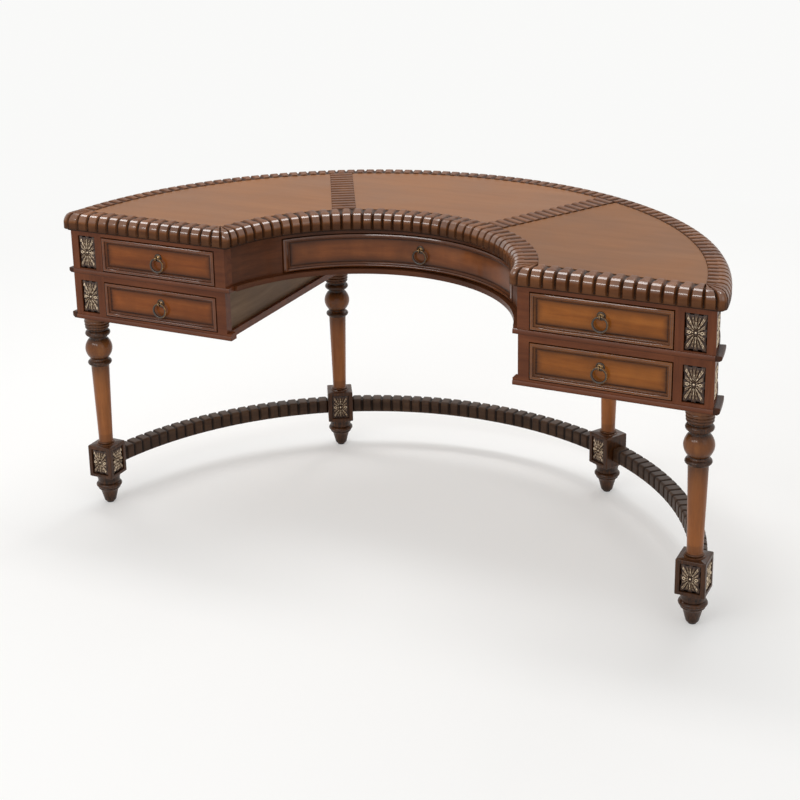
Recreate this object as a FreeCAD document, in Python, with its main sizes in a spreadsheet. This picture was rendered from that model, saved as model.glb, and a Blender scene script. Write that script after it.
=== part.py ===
import FreeCAD, Part
import math
import operator
import os
from types import SimpleNamespace

import Sketcher

doc = FreeCAD.newDocument("semicircular_desk")

# Driving dimensions in millimetres and degrees
driving = {
    # Plan: every curve is struck from one centre, which lies a little in front of the desk
    "desk_height": 762,
    "top_radius": 810,
    "knee_half_width": 362,
    "front_setback": 66,
    # Top
    "rim_height": 42,
    "rim_outer_width": 50,
    "rim_inner_width": 58,
    "rim_front_width": 50,
    "rim_nose": 14,
    "rim_chamfer": 4,
    "band_angle": 28.4,
    "band_width": 57,
    "band_thickness": 10,
    "field_thickness": 7,
    # Case
    "front_overhang": 10,
    "side_overhang": 19,
    "knee_overhang": 18,
    "knee_tuck": 2,
    "stile_width": 25,
    "frame_thickness": 22,
    "post_width": 86,
    "post_depth": 60,
    "bottom_rail": 16,
    "mid_rail": 26,
    "top_rail": 9,
    "opening_height": 86,
    "panel_thickness": 15,
    "apron_thickness": 18,
    "inner_panel_thickness": 12,
    "inner_panel_recess": 10,
    "deck_thickness": 12,
    "moulding_projection": 12,
    # Carved panels
    "carving_width": 48,
    "carving_height": 82,
    "carving_depth": 4,
    # Legs
    "front_leg_inset": 34,
    "back_leg_inset": 31,
    "back_leg_offset": 18,
    "block_width": 66,
    "block_height": 83,
    "block_carving_width": 46,
    "block_carving_height": 66,
    "glide_radius": 9,
    "glide_height": 5,
    "toe_low_radius": 14,
    "toe_top_radius": 24,
    "toe_height": 33,
    "toe_ring_radius": 32,
    "toe_ring_height": 20,
    "ankle_radius": 28,
    "ankle_height": 19,
    "collar_radius": 19.5,
    "collar_height": 6,
    "shaft_low_radius": 17.2,
    "shaft_top_radius": 22,
    "shaft_ring_radius": 29,
    "shaft_ring_height": 18,
    "ball_radius": 33,
    "ball_height": 52,
    "throat_radius": 21,
    "throat_height": 5,
    "disc_radius": 30.5,
    "disc_height": 17,
    "groove_radius": 24.5,
    "groove_height": 4,
    "neck_radius": 30,
    "neck_height": 30,
    "tenon_radius": 15,
    "tenon_length": 40,
    # Stretchers
    "stretcher_width": 37,
    "stretcher_height": 36,
    "stretcher_z": 96,
    "stretcher_outset": 5,
    # Drawers
    "reveal": 2,
    "drawer_front_thickness": 18,
    "drawer_frame_width": 13,
    "drawer_recess": 5,
    "drawer_side_room": 6,
    "drawer_wall": 10,
    "drawer_floor": 6,
    "drawer_box_height": 68,
    "drawer_back_room": 15,
    "centre_drawer_inset": 70,
    "centre_drawer_back_room": 30,
    "running_clearance": 0.3,
    "guide_width": 8,
    "guide_height": 20,
    "guide_back_room": 24,
    "centre_guide_front_room": 72,
    # Pulls
    "pull_drop": 35,
    "plate_radius": 10,
    "plate_thickness": 3,
    "lug_reach": 8.5,
    "lug_radius": 4.5,
    "lug_width": 5,
    "eye_radius": 2.5,
    "ring_radius": 16.5,
    "ring_wire_radius": 2,
    # Cuts run this far past the faces that they cross
    "overrun": 5,
}

sheet = doc.addObject("Spreadsheet::Sheet", "Sizes")
for row, (alias, number) in enumerate(driving.items(), 1):
    sheet.set(f"A{row}", alias.replace("_", " "))
    sheet.set(f"B{row}", str(number))
    sheet.setAlias(f"B{row}", alias)
doc.recompute()


class Size:
    """A number from the sheet, kept together with the expression that gives it."""

    def __init__(self, number, text):
        self.number = number
        self.text = text

    def __add__(self, other):
        return combine("+", self, other)

    def __sub__(self, other):
        return combine("-", self, other)

    def __mul__(self, other):
        return combine("*", self, other)

    def __truediv__(self, other):
        return combine("/", self, other)

    def __rsub__(self, other):
        return combine("-", other, self)

    def __neg__(self):
        return combine("-", 0, self)


signs = {
    "+": operator.add,
    "-": operator.sub,
    "*": operator.mul,
    "/": operator.truediv,
}


def as_size(value):
    return value if isinstance(value, Size) else Size(value, str(value))


def combine(sign, left, right):
    left = as_size(left)
    right = as_size(right)
    return Size(signs[sign](left.number, right.number), f"({left.text} {sign} {right.text})")


def cosine(angle):
    return Size(math.cos(math.radians(angle.number)), f"cos({angle.text})")


def sine(angle):
    return Size(math.sin(math.radians(angle.number)), f"sin({angle.text})")


def angle_of(rise, slope):
    """The angle whose sine is rise over slope."""
    share = rise / slope
    return Size(math.degrees(math.asin(share.number)), f"(asin({share.text}) / 1 deg)")


def root(square):
    return Size(math.sqrt(square.number), f"sqrt({square.text})")


def chord(radius, across):
    """How far a circle reaches along one axis, at a distance across from its centre."""
    return root(radius * radius - across * across)


def distance(along, across):
    """How far from its centre a circle passes that goes through a point."""
    return root(along * along + across * across)


dim = SimpleNamespace(**{alias: Size(sheet.get(alias), f"Sizes.{alias}") for alias in driving})

# Places that follow from the driving dimensions, with the origin on the floor under the middle
arc_y = (dim.top_radius + dim.front_setback) / -2
front_y = arc_y + dim.front_setback
case_front = front_y + dim.front_overhang
case_setback = dim.front_setback + dim.front_overhang
frame_back = case_front + dim.frame_thickness
post_back = case_front + dim.post_depth
return_back = post_back + dim.moulding_projection

case_radius = dim.top_radius - dim.side_overhang
face_radius = case_radius - dim.moulding_projection
panel_radius = face_radius - dim.panel_thickness
moulding_radius = case_radius + dim.moulding_projection
apron_radius = distance(dim.knee_half_width - dim.knee_tuck, case_setback)
knee_radius = apron_radius - dim.knee_overhang
apron_back_radius = apron_radius + dim.apron_thickness
apron_nose_radius = apron_radius - dim.moulding_projection

rim_z = dim.desk_height - dim.rim_height
core_top = dim.desk_height - dim.band_thickness
upper_top = rim_z - dim.top_rail
deck_top = upper_top - dim.opening_height
deck_z = deck_top - dim.deck_thickness
lower_top = deck_top - dim.mid_rail
lower_z = lower_top - dim.opening_height
case_z = lower_z - dim.bottom_rail

corner_x = chord(case_radius, case_setback)
post_x = corner_x - dim.post_width
opening_x = dim.knee_half_width + dim.stile_width
panel_x = dim.knee_half_width + dim.inner_panel_recess
panel_back_x = panel_x + dim.inner_panel_thickness
nose_x = dim.knee_half_width - dim.moulding_projection

front_leg_x = corner_x - dim.front_leg_inset
front_leg_y = case_front + dim.post_depth / 2
leg_radius = case_radius - dim.back_leg_inset
back_leg_x = dim.knee_half_width + dim.back_leg_offset
back_leg_y = arc_y + chord(leg_radius, back_leg_x)
back_leg_angle = angle_of(back_leg_x, leg_radius)
half_block = dim.block_width / 2

reach = dim.top_radius + dim.overrun
through = (-dim.overrun, dim.desk_height + dim.overrun)
sides = {"left": -1, "right": 1}
pieces = {}


def piece(label, made):
    made.Label = label
    pieces[label] = made
    return made


def bind(target, name, value):
    target.setExpression(name, as_size(value).text)


def place(target, x, y, z):
    for axis, value in zip("xyz", (x, y, z)):
        bind(target, f"Placement.Base.{axis}", value)


def across(side, near, far):
    """The span from near to far on one side of the middle, lowest first."""
    return (near, far) if side > 0 else (-far, -near)


# Solids and the cuts between them


def slab(name, xs, ys, zs):
    made = doc.addObject("Part::Box", name)
    for side, (low, high) in zip(("Length", "Width", "Height"), (xs, ys, zs)):
        bind(made, side, as_size(high) - low)
    place(made, xs[0], ys[0], zs[0])
    return made


def radial_slab(name, turn, along, aside, zs):
    """A slab that points away from the centre of the curves at the angle turn."""
    made = slab(name, along, aside, zs)
    bind(made, "Placement.Base.x", along[0] * cosine(turn) - aside[0] * sine(turn))
    bind(made, "Placement.Base.y", arc_y + along[0] * sine(turn) + aside[0] * cosine(turn))
    bind(made, "Placement.Rotation.Angle", turn)
    return made


def drum(name, radius, zs):
    made = doc.addObject("Part::Cylinder", name)
    bind(made, "Radius", radius)
    bind(made, "Height", as_size(zs[1]) - zs[0])
    place(made, 0, arc_y, zs[0])
    return made


def behind(name, start):
    """All the space behind a plane across the desk."""
    return slab(name, (-reach, reach), (start, start + reach * 2), through)


def boolean(kind, name, base, tool):
    made = doc.addObject(f"Part::{kind}", name)
    made.Base = base
    made.Tool = tool
    made.Refine = True
    return made


def common(name, base, tool):
    return boolean("Common", f"{name}_within", base, tool)


def cut(name, base, *tools):
    for number, tool in enumerate(tools):
        base = boolean("Cut", f"{name}_less_{number}", base, tool)
    return base


def fuse(name, *solids):
    made = doc.addObject("Part::MultiFuse", f"{name}_joined")
    made.Shapes = list(solids)
    made.Refine = True
    return made


def group(name, *solids):
    made = doc.addObject("Part::Compound", f"{name}_group")
    made.Links = list(solids)
    return made


def ring(name, inner, outer, zs):
    past = (zs[0] - dim.overrun, zs[1] + dim.overrun)
    return cut(name, drum(f"{name}_outside", outer, zs), drum(f"{name}_inside", inner, past))


# Bodies made from sketches


def sketch_on(body, name, role, lift=0, rise=0):
    """A sketch on one of the body's origin planes, lifted along its normal and raised in its plane."""
    sketch = body.newObject("Sketcher::SketchObject", name)
    plane = next(feature for feature in body.Origin.OriginFeatures if feature.Role == role)
    sketch.AttachmentSupport = (plane, [""])
    sketch.MapMode = "FlatFace"
    bind(sketch, "AttachmentOffset.Base.z", lift)
    bind(sketch, "AttachmentOffset.Base.y", rise)
    return sketch


def measure(sketch, kind, first, second, value):
    """A distance between two points of the sketch, bound to the sheet."""
    index = sketch.addConstraint(Sketcher.Constraint(kind, *first, *second, value.number))
    bind(sketch, f"Constraints[{index}]", value)


def rectangle(sketch, length, width):
    """A rectangle about the sketch's own origin."""
    half_length = length.number / 2
    half_width = width.number / 2
    quarters = ((-1, -1), (1, -1), (1, 1), (-1, 1))
    corners = [FreeCAD.Vector(x * half_length, y * half_width, 0) for x, y in quarters]
    for index in range(4):
        sketch.addGeometry(Part.LineSegment(corners[index], corners[(index + 1) % 4]))
    for index in range(4):
        sketch.addConstraint(Sketcher.Constraint("Coincident", index, 2, (index + 1) % 4, 1))
        sketch.addConstraint(Sketcher.Constraint(("Horizontal", "Vertical")[index % 2], index))
    sketch.addConstraint(Sketcher.Constraint("Symmetric", 0, 1, 1, 2, -1, 1))
    measure(sketch, "DistanceX", (0, 1), (0, 2), length)
    measure(sketch, "DistanceY", (1, 1), (1, 2), width)


def outline(sketch, corners):
    """A closed outline. A corner is (x, y), or (x, y, radius) where an arc that turns
    anticlockwise leads up to it from the corner before."""
    points = [FreeCAD.Vector(as_size(c[0]).number, as_size(c[1]).number, 0) for c in corners]
    for index, corner in enumerate(corners):
        start = points[index - 1]
        end = points[index]
        if len(corner) == 2:
            sketch.addGeometry(Part.LineSegment(start, end))
            continue
        half = (end - start) * 0.5
        radius = corner[2].number
        rise = math.sqrt(max(radius * radius - half.Length * half.Length, 0))
        normal = FreeCAD.Vector(-half.y, half.x, 0).normalize()
        centre = start + half + normal * rise
        arc = Part.Circle(centre, FreeCAD.Vector(0, 0, 1), radius)
        first = math.atan2(start.y - centre.y, start.x - centre.x)
        last = math.atan2(end.y - centre.y, end.x - centre.x)
        geometry = sketch.addGeometry(Part.ArcOfCircle(arc, first, last))
        constraint = sketch.addConstraint(Sketcher.Constraint("Radius", geometry, radius))
        bind(sketch, f"Constraints[{constraint}]", corner[2])
    for index, corner in enumerate(corners):
        following = (index + 1) % len(corners)
        sketch.addConstraint(Sketcher.Constraint("Coincident", index, 2, following, 1))
        for kind, axis, value in (("DistanceX", -2, corner[0]), ("DistanceY", -1, corner[1])):
            if as_size(value).number == 0:
                sketch.addConstraint(Sketcher.Constraint("PointOnObject", index, 2, axis))
            else:
                measure(sketch, kind, (-1, 1), (index, 2), value)


def pad(body, sketch, length):
    made = body.newObject("PartDesign::Pad", f"{sketch.Name}_pad")
    made.Profile = sketch
    bind(made, "Length", length)
    return made


def pocket(body, sketch, depth, backwards=False):
    made = body.newObject("PartDesign::Pocket", f"{sketch.Name}_pocket")
    made.Profile = sketch
    made.Reversed = backwards
    bind(made, "Length", depth)
    return made


def revolve(body, sketch):
    made = body.newObject("PartDesign::Revolution", f"{sketch.Name}_turned")
    made.Profile = sketch
    made.ReferenceAxis = (sketch, ["V_Axis"])
    made.Angle = 360
    return made


faces = {
    "front": ("XZ_Plane", 1),
    "back": ("XZ_Plane", -1),
    "right": ("YZ_Plane", 1),
    "left": ("YZ_Plane", -1),
}


def carve(body, face, depths, heights, width, height):
    """Sinks a carved panel's ground into a face of a body, at each of the given heights."""
    role, sign = faces[face]
    lift = depths[role] / 2 * sign
    for number, middle in enumerate(heights):
        sketch = sketch_on(body, f"{body.Name}_{face}_{number}", role, lift, middle)
        rectangle(sketch, width, height)
        pocket(body, sketch, dim.carving_depth, sign < 0)


# Top: a core board with fields and bands laid on it, edged by rims with a round nose

core_radius = dim.top_radius - dim.rim_outer_width
core_knee_radius = knee_radius + dim.rim_inner_width
core_front = front_y + dim.rim_front_width
behind_front = behind("behind_front", front_y)
behind_rim = behind("behind_rim", core_front)


def nose_outline(root, tip):
    """The section of a rim from its root to its rounded tip, which points to the right."""
    return (
        (root, rim_z),
        (tip - dim.rim_chamfer, rim_z),
        (tip, rim_z + dim.rim_chamfer),
        (tip, dim.desk_height - dim.rim_nose),
        (tip - dim.rim_nose, dim.desk_height, dim.rim_nose),
        (root, dim.desk_height),
    )


def turned_nose_outline(root, tip):
    """The same section with its tip to the left."""
    return (
        (root, dim.desk_height),
        (tip + dim.rim_nose, dim.desk_height),
        (tip, dim.desk_height - dim.rim_nose, dim.rim_nose),
        (tip, rim_z + dim.rim_chamfer),
        (tip + dim.rim_chamfer, rim_z),
        (root, rim_z),
    )


def round_rim(label, corners):
    body = doc.addObject("PartDesign::Body", f"{label}_hoop")
    sketch = sketch_on(body, f"{label}_section", "XZ_Plane")
    outline(sketch, corners)
    revolve(body, sketch)
    place(body, 0, arc_y, 0)
    piece(label, common(label, body, behind_front))


round_rim("rim_outer", nose_outline(core_radius, dim.top_radius))
round_rim("rim_inner", turned_nose_outline(core_knee_radius, knee_radius))

for name, side in sides.items():
    label = f"rim_front_{name}"
    body = doc.addObject("PartDesign::Body", f"{label}_bar")
    sketch = sketch_on(body, f"{label}_section", "YZ_Plane")
    outline(sketch, turned_nose_outline(core_front - front_y, as_size(0)))
    pad(body, sketch, reach)
    place(body, across(side, 0, reach)[0], front_y, 0)
    piece(label, common(label, body, ring(label, core_knee_radius, core_radius, through)))

core_ring = ring("core", core_knee_radius, core_radius, (rim_z, core_top))
piece("top_core", common("top_core", core_ring, behind_rim))

field_top = core_top + dim.field_thickness
field_ring = ring("field", core_knee_radius, core_radius, (core_top, field_top))
field_sheet = common("field", field_ring, behind_rim)
half_band = dim.band_width / 2
band_turns = {"left": dim.band_angle + 90, "right": 90 - dim.band_angle}
centre_field = field_sheet
for name, side in sides.items():
    turn = band_turns[name]
    bar = radial_slab(f"band_{name}_bar", turn, (knee_radius, reach), (-half_band, half_band),
                      (core_top, dim.desk_height))
    band_ring = ring(f"band_{name}", core_knee_radius, core_radius, through)
    piece(f"band_{name}", common(f"band_{name}", bar, band_ring))
    length = (-reach, reach)
    inward = radial_slab(f"inward_{name}", turn, length, across(side, -half_band, reach), through)
    outward = radial_slab(f"outward_{name}", turn, length, across(-side, -half_band, reach), through)
    piece(f"field_{name}", cut(f"field_{name}", field_sheet, inward))
    centre_field = cut(f"field_centre_{name}", centre_field, outward)
piece("field_centre", centre_field)

# Posts: the front pair follows the curve of the sides, the back pair points to the centre

carving_heights = [floor - case_z + dim.opening_height / 2 for floor in (lower_z, deck_top)]
case_height = rim_z - case_z
post_turns = {"left": back_leg_angle + 90, "right": 90 - back_leg_angle}
post_tools = {}


def post_body(name, width, depth, carved):
    body = doc.addObject("PartDesign::Body", name)
    sketch = sketch_on(body, f"{name}_plan", "XY_Plane")
    rectangle(sketch, width, depth)
    pad(body, sketch, case_height)
    depths = {"XZ_Plane": depth, "YZ_Plane": width}
    for face in carved:
        carve(body, face, depths, carving_heights, dim.carving_width, dim.carving_height)
    return body


def bore_for_tenon(name, solid, x, y):
    bore = doc.addObject("Part::Cylinder", f"{name}_bore")
    bind(bore, "Radius", dim.tenon_radius)
    bind(bore, "Height", dim.tenon_length + dim.overrun)
    place(bore, x, y, case_z - dim.overrun)
    return cut(name, solid, bore)


def curved_carving(name, side):
    """What the carved panels' ground takes from the curved side of a front post."""
    half_width = dim.carving_width / 2
    half_height = dim.carving_height / 2
    heights = [case_z + middle for middle in carving_heights]
    panels = [
        slab(f"{name}_panel_{number}", across(side, post_x, reach),
             (front_leg_y - half_width, front_leg_y + half_width),
             (middle - half_height, middle + half_height))
        for number, middle in enumerate(heights)
    ]
    hoop = ring(name, case_radius - dim.carving_depth, reach, (case_z, rim_z))
    return common(name, hoop, fuse(name, *panels))


inside_case = drum("inside_case", case_radius, through)
for name, side in sides.items():
    label = f"post_front_{name}"
    block = post_body(f"{label}_block", dim.post_width, dim.post_depth, ("front",))
    place(block, (post_x + dim.post_width / 2) * side, front_leg_y, case_z)
    curved = common(label, block, inside_case)
    carved = cut(f"{label}_side", curved, curved_carving(f"{label}_carving", side))
    piece(label, bore_for_tenon(label, carved, front_leg_x * side, front_leg_y))

    label = f"post_back_{name}"
    block = post_body(f"{label}_block", dim.block_width, dim.block_width, ("back",))
    place(block, back_leg_x * side, back_leg_y, case_z)
    bind(block, "Placement.Rotation.Angle", back_leg_angle * -side)
    piece(label, bore_for_tenon(label, block, back_leg_x * side, back_leg_y))
    post_tools[name] = radial_slab(f"{label}_space", post_turns[name],
                                   (leg_radius - half_block, leg_radius + half_block),
                                   (-half_block, half_block), (case_z, rim_z))

# Case: face frames, apron, panels, decks and mouldings

behind_posts = behind("behind_posts", post_back)
behind_frame = behind("behind_frame", frame_back)
knee_space = drum("knee_space", apron_radius, (deck_top, rim_z + dim.overrun))
frame_depth = (case_front, frame_back)


def moulding_hoop(name, zs):
    """A moulding along the panels that breaks outwards round the front posts."""
    run = common(f"{name}_run", ring(f"{name}_run", face_radius, case_radius, zs), behind_posts)
    post_strip = slab(f"{name}_post_strip", (-reach, reach), (case_front, return_back), through)
    collar = common(f"{name}_collar", ring(f"{name}_collar", case_radius, moulding_radius, zs), post_strip)
    return fuse(f"{name}_hoop", run, collar)


for name, side in sides.items():
    label = f"face_frame_{name}"
    board = across(side, dim.knee_half_width, post_x)
    cap = across(side, nose_x, dim.knee_half_width)
    stile = slab(f"{label}_stile", board, frame_depth, (case_z, deck_top))
    head = slab(f"{label}_head", across(side, nose_x, post_x), frame_depth, (deck_top, rim_z))
    foot_cap = slab(f"{label}_foot_cap", cap, frame_depth, (case_z, lower_z))
    mid_cap = slab(f"{label}_mid_cap", cap, frame_depth, (deck_z, deck_top))
    joined = fuse(label, stile, cut(f"{label}_head", head, knee_space), foot_cap, mid_cap)
    openings = [
        slab(f"{label}_opening_{floor_name}", across(side, opening_x, post_x + dim.overrun),
             (case_front - dim.overrun, frame_back + dim.overrun), (floor, floor + dim.opening_height))
        for floor_name, floor in (("lower", lower_z), ("upper", deck_top))
    ]
    piece(label, cut(label, joined, *openings))

    label = f"side_panel_{name}"
    wall = ring(label, panel_radius, face_radius, (case_z, rim_z))
    stretch = slab(f"{label}_stretch", across(side, back_leg_x, reach), (post_back, reach), through)
    piece(label, cut(label, common(label, wall, stretch), post_tools[name]))

    label = f"inner_panel_{name}"
    board = slab(f"{label}_board", across(side, panel_x, panel_back_x), (frame_back, back_leg_y),
                 (case_z, deck_z))
    piece(label, cut(label, board, post_tools[name]))

    label = f"inner_moulding_{name}"
    board = slab(f"{label}_board", across(side, dim.knee_half_width, panel_x), (frame_back, back_leg_y),
                 (case_z, lower_z))
    piece(label, cut(label, board, post_tools[name]))

    label = f"bottom_moulding_{name}"
    far_edge = back_leg_x + half_block * (sine(back_leg_angle) - cosine(back_leg_angle))
    stretch = slab(f"{label}_stretch", across(side, far_edge, reach), (case_front, reach), through)
    hoop = moulding_hoop(label, (case_z, lower_z))
    piece(label, cut(label, common(label, hoop, stretch), post_tools[name]))

    label = f"bottom_deck_{name}"
    plate = drum(f"{label}_plate", panel_radius, (lower_z - dim.deck_thickness, lower_z))
    stretch = slab(f"{label}_stretch", across(side, panel_back_x, reach), (frame_back, reach), through)
    front_post = slab(f"{label}_post_space", across(side, post_x, reach), (case_front, post_back),
                      through)
    piece(label, cut(label, common(label, plate, stretch), front_post, post_tools[name]))

back_wall = ring("back_panel", panel_radius, face_radius, (deck_z, rim_z))
back_stretch = slab("back_panel_stretch", (-back_leg_x, back_leg_x), (0, reach), through)
back_wall = common("back_panel", back_wall, back_stretch)
piece("back_panel", cut("back_panel", back_wall, *post_tools.values()))

hoop = moulding_hoop("mid_moulding", (deck_z, deck_top))
piece("mid_moulding", cut("mid_moulding", hoop, *post_tools.values()))

deck_plate = ring("mid_deck", apron_back_radius, panel_radius, (deck_z, deck_top))
deck_plate = common("mid_deck", deck_plate, behind_frame)
front_post_spaces = [
    slab(f"mid_deck_post_space_{name}", across(side, post_x, reach), (case_front, post_back), through)
    for name, side in sides.items()
]
piece("mid_deck", cut("mid_deck", deck_plate, *front_post_spaces, *post_tools.values()))

apron_wall = ring("apron_wall", apron_radius, apron_back_radius, (deck_z, rim_z))
apron_sill = ring("apron_sill", apron_nose_radius, apron_back_radius, (deck_z, deck_top))
apron = common("apron", fuse("apron", apron_wall, apron_sill), behind_frame)
half_opening = dim.knee_half_width - dim.centre_drawer_inset
centre_opening = slab("centre_opening", (-half_opening, half_opening), (arc_y, reach),
                      (deck_top, upper_top))
piece("apron_frame", cut("apron_frame", apron, centre_opening))

# Drawers


def pull(label, x, back_y, z):
    """A round plate with a lug whose eye carries the ring. back_y is where the plate's back sits."""
    plate = doc.addObject("Part::Cylinder", f"{label}_plate")
    plate.Placement.Rotation = FreeCAD.Rotation(FreeCAD.Vector(1, 0, 0), 90)
    bind(plate, "Radius", dim.plate_radius)
    bind(plate, "Height", dim.plate_thickness)
    place(plate, x, back_y, z)
    eye_y = back_y - dim.lug_reach
    half_lug = dim.lug_width / 2
    arm = slab(f"{label}_arm", (x - half_lug, x + half_lug), (eye_y, back_y - dim.plate_thickness),
               (z - dim.lug_radius, z + dim.lug_radius))
    rounds = {}
    for part, radius, width in (("end", dim.lug_radius, dim.lug_width),
                                ("eye", dim.eye_radius, dim.lug_width + dim.overrun)):
        rounds[part] = doc.addObject("Part::Cylinder", f"{label}_{part}")
        rounds[part].Placement.Rotation = FreeCAD.Rotation(FreeCAD.Vector(0, 1, 0), 90)
        bind(rounds[part], "Radius", radius)
        bind(rounds[part], "Height", width)
        place(rounds[part], x - width / 2, eye_y, z)
    joined = fuse(label, plate, arm, rounds["end"])
    piece(f"{label}_pull", cut(label, joined, rounds["eye"]))

    hoop = doc.addObject("Part::Torus", f"{label}_hoop")
    hoop.Placement.Rotation = FreeCAD.Rotation(FreeCAD.Vector(1, 0, 0), 90)
    bind(hoop, "Radius1", dim.ring_radius)
    bind(hoop, "Radius2", dim.ring_wire_radius)
    place(hoop, x, eye_y, z - dim.ring_radius)
    piece(f"{label}_ring", hoop)


drawer_front_back = case_front + dim.drawer_front_thickness
front_width = post_x - opening_x - dim.reveal * 2
front_height = dim.opening_height - dim.reveal * 2
panel_width = front_width - dim.drawer_frame_width * 2
panel_height = front_height - dim.drawer_frame_width * 2
box_width = post_x - opening_x - dim.drawer_side_room * 2
box_end = arc_y + chord(panel_radius, post_x - dim.drawer_side_room) - dim.drawer_back_room
box_length = box_end - drawer_front_back
drawer_x = (post_x + opening_x) / 2
levels = {"lower": lower_z, "upper": deck_top}

guides = []
for name, side in sides.items():
    for level, floor in levels.items():
        label = f"drawer_{level}_{name}"
        middle_z = floor + dim.opening_height / 2
        body = piece(f"{label}_front", doc.addObject("PartDesign::Body", f"{label}_front"))
        face = sketch_on(body, f"{label}_face", "XZ_Plane")
        rectangle(face, front_width, front_height)
        pad(body, face, dim.drawer_front_thickness)
        sunk = sketch_on(body, f"{label}_sunk", "XZ_Plane", dim.drawer_front_thickness)
        rectangle(sunk, panel_width, panel_height)
        pocket(body, sunk, dim.drawer_recess)
        place(body, drawer_x * side, drawer_front_back, middle_z)

        body = piece(f"{label}_box", doc.addObject("PartDesign::Body", f"{label}_box"))
        plan = sketch_on(body, f"{label}_plan", "XY_Plane")
        rectangle(plan, box_width, box_length)
        pad(body, plan, dim.drawer_box_height)
        hollow = sketch_on(body, f"{label}_hollow", "XY_Plane", dim.drawer_box_height)
        rectangle(hollow, box_width - dim.drawer_wall * 2, box_length - dim.drawer_wall * 2)
        pocket(body, hollow, dim.drawer_box_height - dim.drawer_floor)
        place(body, drawer_x * side, drawer_front_back + box_length / 2,
              floor + dim.running_clearance)

        plate_z = floor + dim.opening_height - dim.pull_drop
        pull(label, drawer_x * side, case_front + dim.drawer_recess, plate_z)

        box_low = drawer_x - box_width / 2 - dim.running_clearance
        box_high = drawer_x + box_width / 2 + dim.running_clearance
        guide_ys = (post_back, box_end - dim.guide_back_room)
        guide_zs = (floor, floor + dim.guide_height)
        for part, near, far in (("inner", box_low - dim.guide_width, box_low),
                                ("outer", box_high, box_high + dim.guide_width)):
            guides.append(slab(f"{label}_{part}_guide", across(side, near, far), guide_ys, guide_zs))
piece("drawer_guides", group("drawer_guides", *guides))

# The centre drawer has a front that follows the apron, and slides straight out between the pedestals

centre_z = (deck_top + dim.reveal, upper_top - dim.reveal)
panel_z = (centre_z[0] + dim.drawer_frame_width, centre_z[1] - dim.drawer_frame_width)
sunk_radius = apron_radius + dim.drawer_recess
half_front = half_opening - dim.reveal
half_panel = half_front - dim.drawer_frame_width
front_hoop = ring("drawer_centre_hoop", apron_radius, apron_back_radius, centre_z)
front_stretch = slab("drawer_centre_stretch", (-half_front, half_front), (arc_y, reach), through)
sunk_drum = drum("drawer_centre_sunk", sunk_radius, panel_z)
sunk_stretch = slab("drawer_centre_sunk_stretch", (-half_panel, half_panel), (arc_y, reach), through)
sunk = common("drawer_centre_sunk", sunk_drum, sunk_stretch)
front = common("drawer_centre_front", front_hoop, front_stretch)
piece("drawer_centre_front", cut("drawer_centre_front", front, sunk))

half_box = half_opening - dim.drawer_side_room
box_back = arc_y + chord(panel_radius, half_box) - dim.centre_drawer_back_room
box_z = deck_top + dim.running_clearance
box_top = box_z + dim.drawer_box_height
box_block = slab("drawer_centre_block", (-half_box, half_box), (arc_y, box_back), (box_z, box_top))
box_front = drum("drawer_centre_box_front", apron_back_radius, through)
half_hollow = half_box - dim.drawer_wall
hollow = slab("drawer_centre_hollow", (-half_hollow, half_hollow), (arc_y, box_back - dim.drawer_wall),
              (box_z + dim.drawer_floor, box_top + dim.overrun))
hollow_front = drum("drawer_centre_hollow_front", apron_back_radius + dim.drawer_wall, through)
hollow = cut("drawer_centre_hollow", hollow, hollow_front)
piece("drawer_centre_box", cut("drawer_centre_box", box_block, box_front, hollow))

plate_seat = arc_y + chord(sunk_radius, dim.plate_radius)
pull("drawer_centre", as_size(0), plate_seat, upper_top - dim.pull_drop)

guide_near = half_box + dim.running_clearance
guide_start = arc_y + chord(apron_back_radius, half_box) + dim.centre_guide_front_room
centre_guides = [
    slab(f"centre_guide_{name}", across(side, guide_near, guide_near + dim.guide_width),
         (guide_start, box_back), (deck_top, deck_top + dim.guide_height))
    for name, side in sides.items()
]
piece("centre_drawer_guides", group("centre_drawer_guides", *centre_guides))

# Legs: turned from the toe to the tenon, with a square block low down

turnings = (
    # height, radius at both ends or at the foot and the head, and the radius of a swelling
    (dim.toe_height, dim.toe_low_radius, dim.toe_top_radius, None),
    (dim.toe_ring_height, dim.ankle_radius, dim.ankle_radius, dim.toe_ring_radius),
    (dim.ankle_height, dim.ankle_radius, dim.ankle_radius, None),
    (dim.block_height, dim.shaft_low_radius, dim.shaft_low_radius, None),
    (dim.collar_height, dim.shaft_low_radius, dim.shaft_low_radius, dim.collar_radius),
    (None, dim.shaft_low_radius, dim.shaft_top_radius, None),
    (dim.shaft_ring_height, dim.shaft_top_radius, dim.shaft_top_radius, dim.shaft_ring_radius),
    (dim.ball_height, dim.throat_radius, dim.throat_radius, dim.ball_radius),
    (dim.throat_height, dim.throat_radius, dim.throat_radius, None),
    (dim.disc_height, dim.groove_radius, dim.groove_radius, dim.disc_radius),
    (dim.groove_height, dim.groove_radius, dim.groove_radius, None),
    (dim.neck_height, dim.neck_radius, dim.neck_radius, None),
    (dim.tenon_length, dim.tenon_radius, dim.tenon_radius, None),
)
shaft_height = case_z + dim.tenon_length - dim.glide_height
for height, *_ in turnings:
    if height is not None:
        shaft_height = shaft_height - height
block_z = dim.glide_height + dim.toe_height + dim.toe_ring_height + dim.ankle_height


def leg_outline():
    corners = [(0, dim.glide_height)]
    level = dim.glide_height
    for height, foot, head, swell in turnings:
        if corners[-1][0] is not foot:
            corners.append((foot, level))
        level = level + (shaft_height if height is None else height)
        if swell is None:
            corners.append((head, level))
        else:
            half = height / 2
            rise = swell - foot
            corners.append((head, level, (half * half + rise * rise) / (rise * 2)))
    corners.append((0, level))
    return corners


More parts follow.
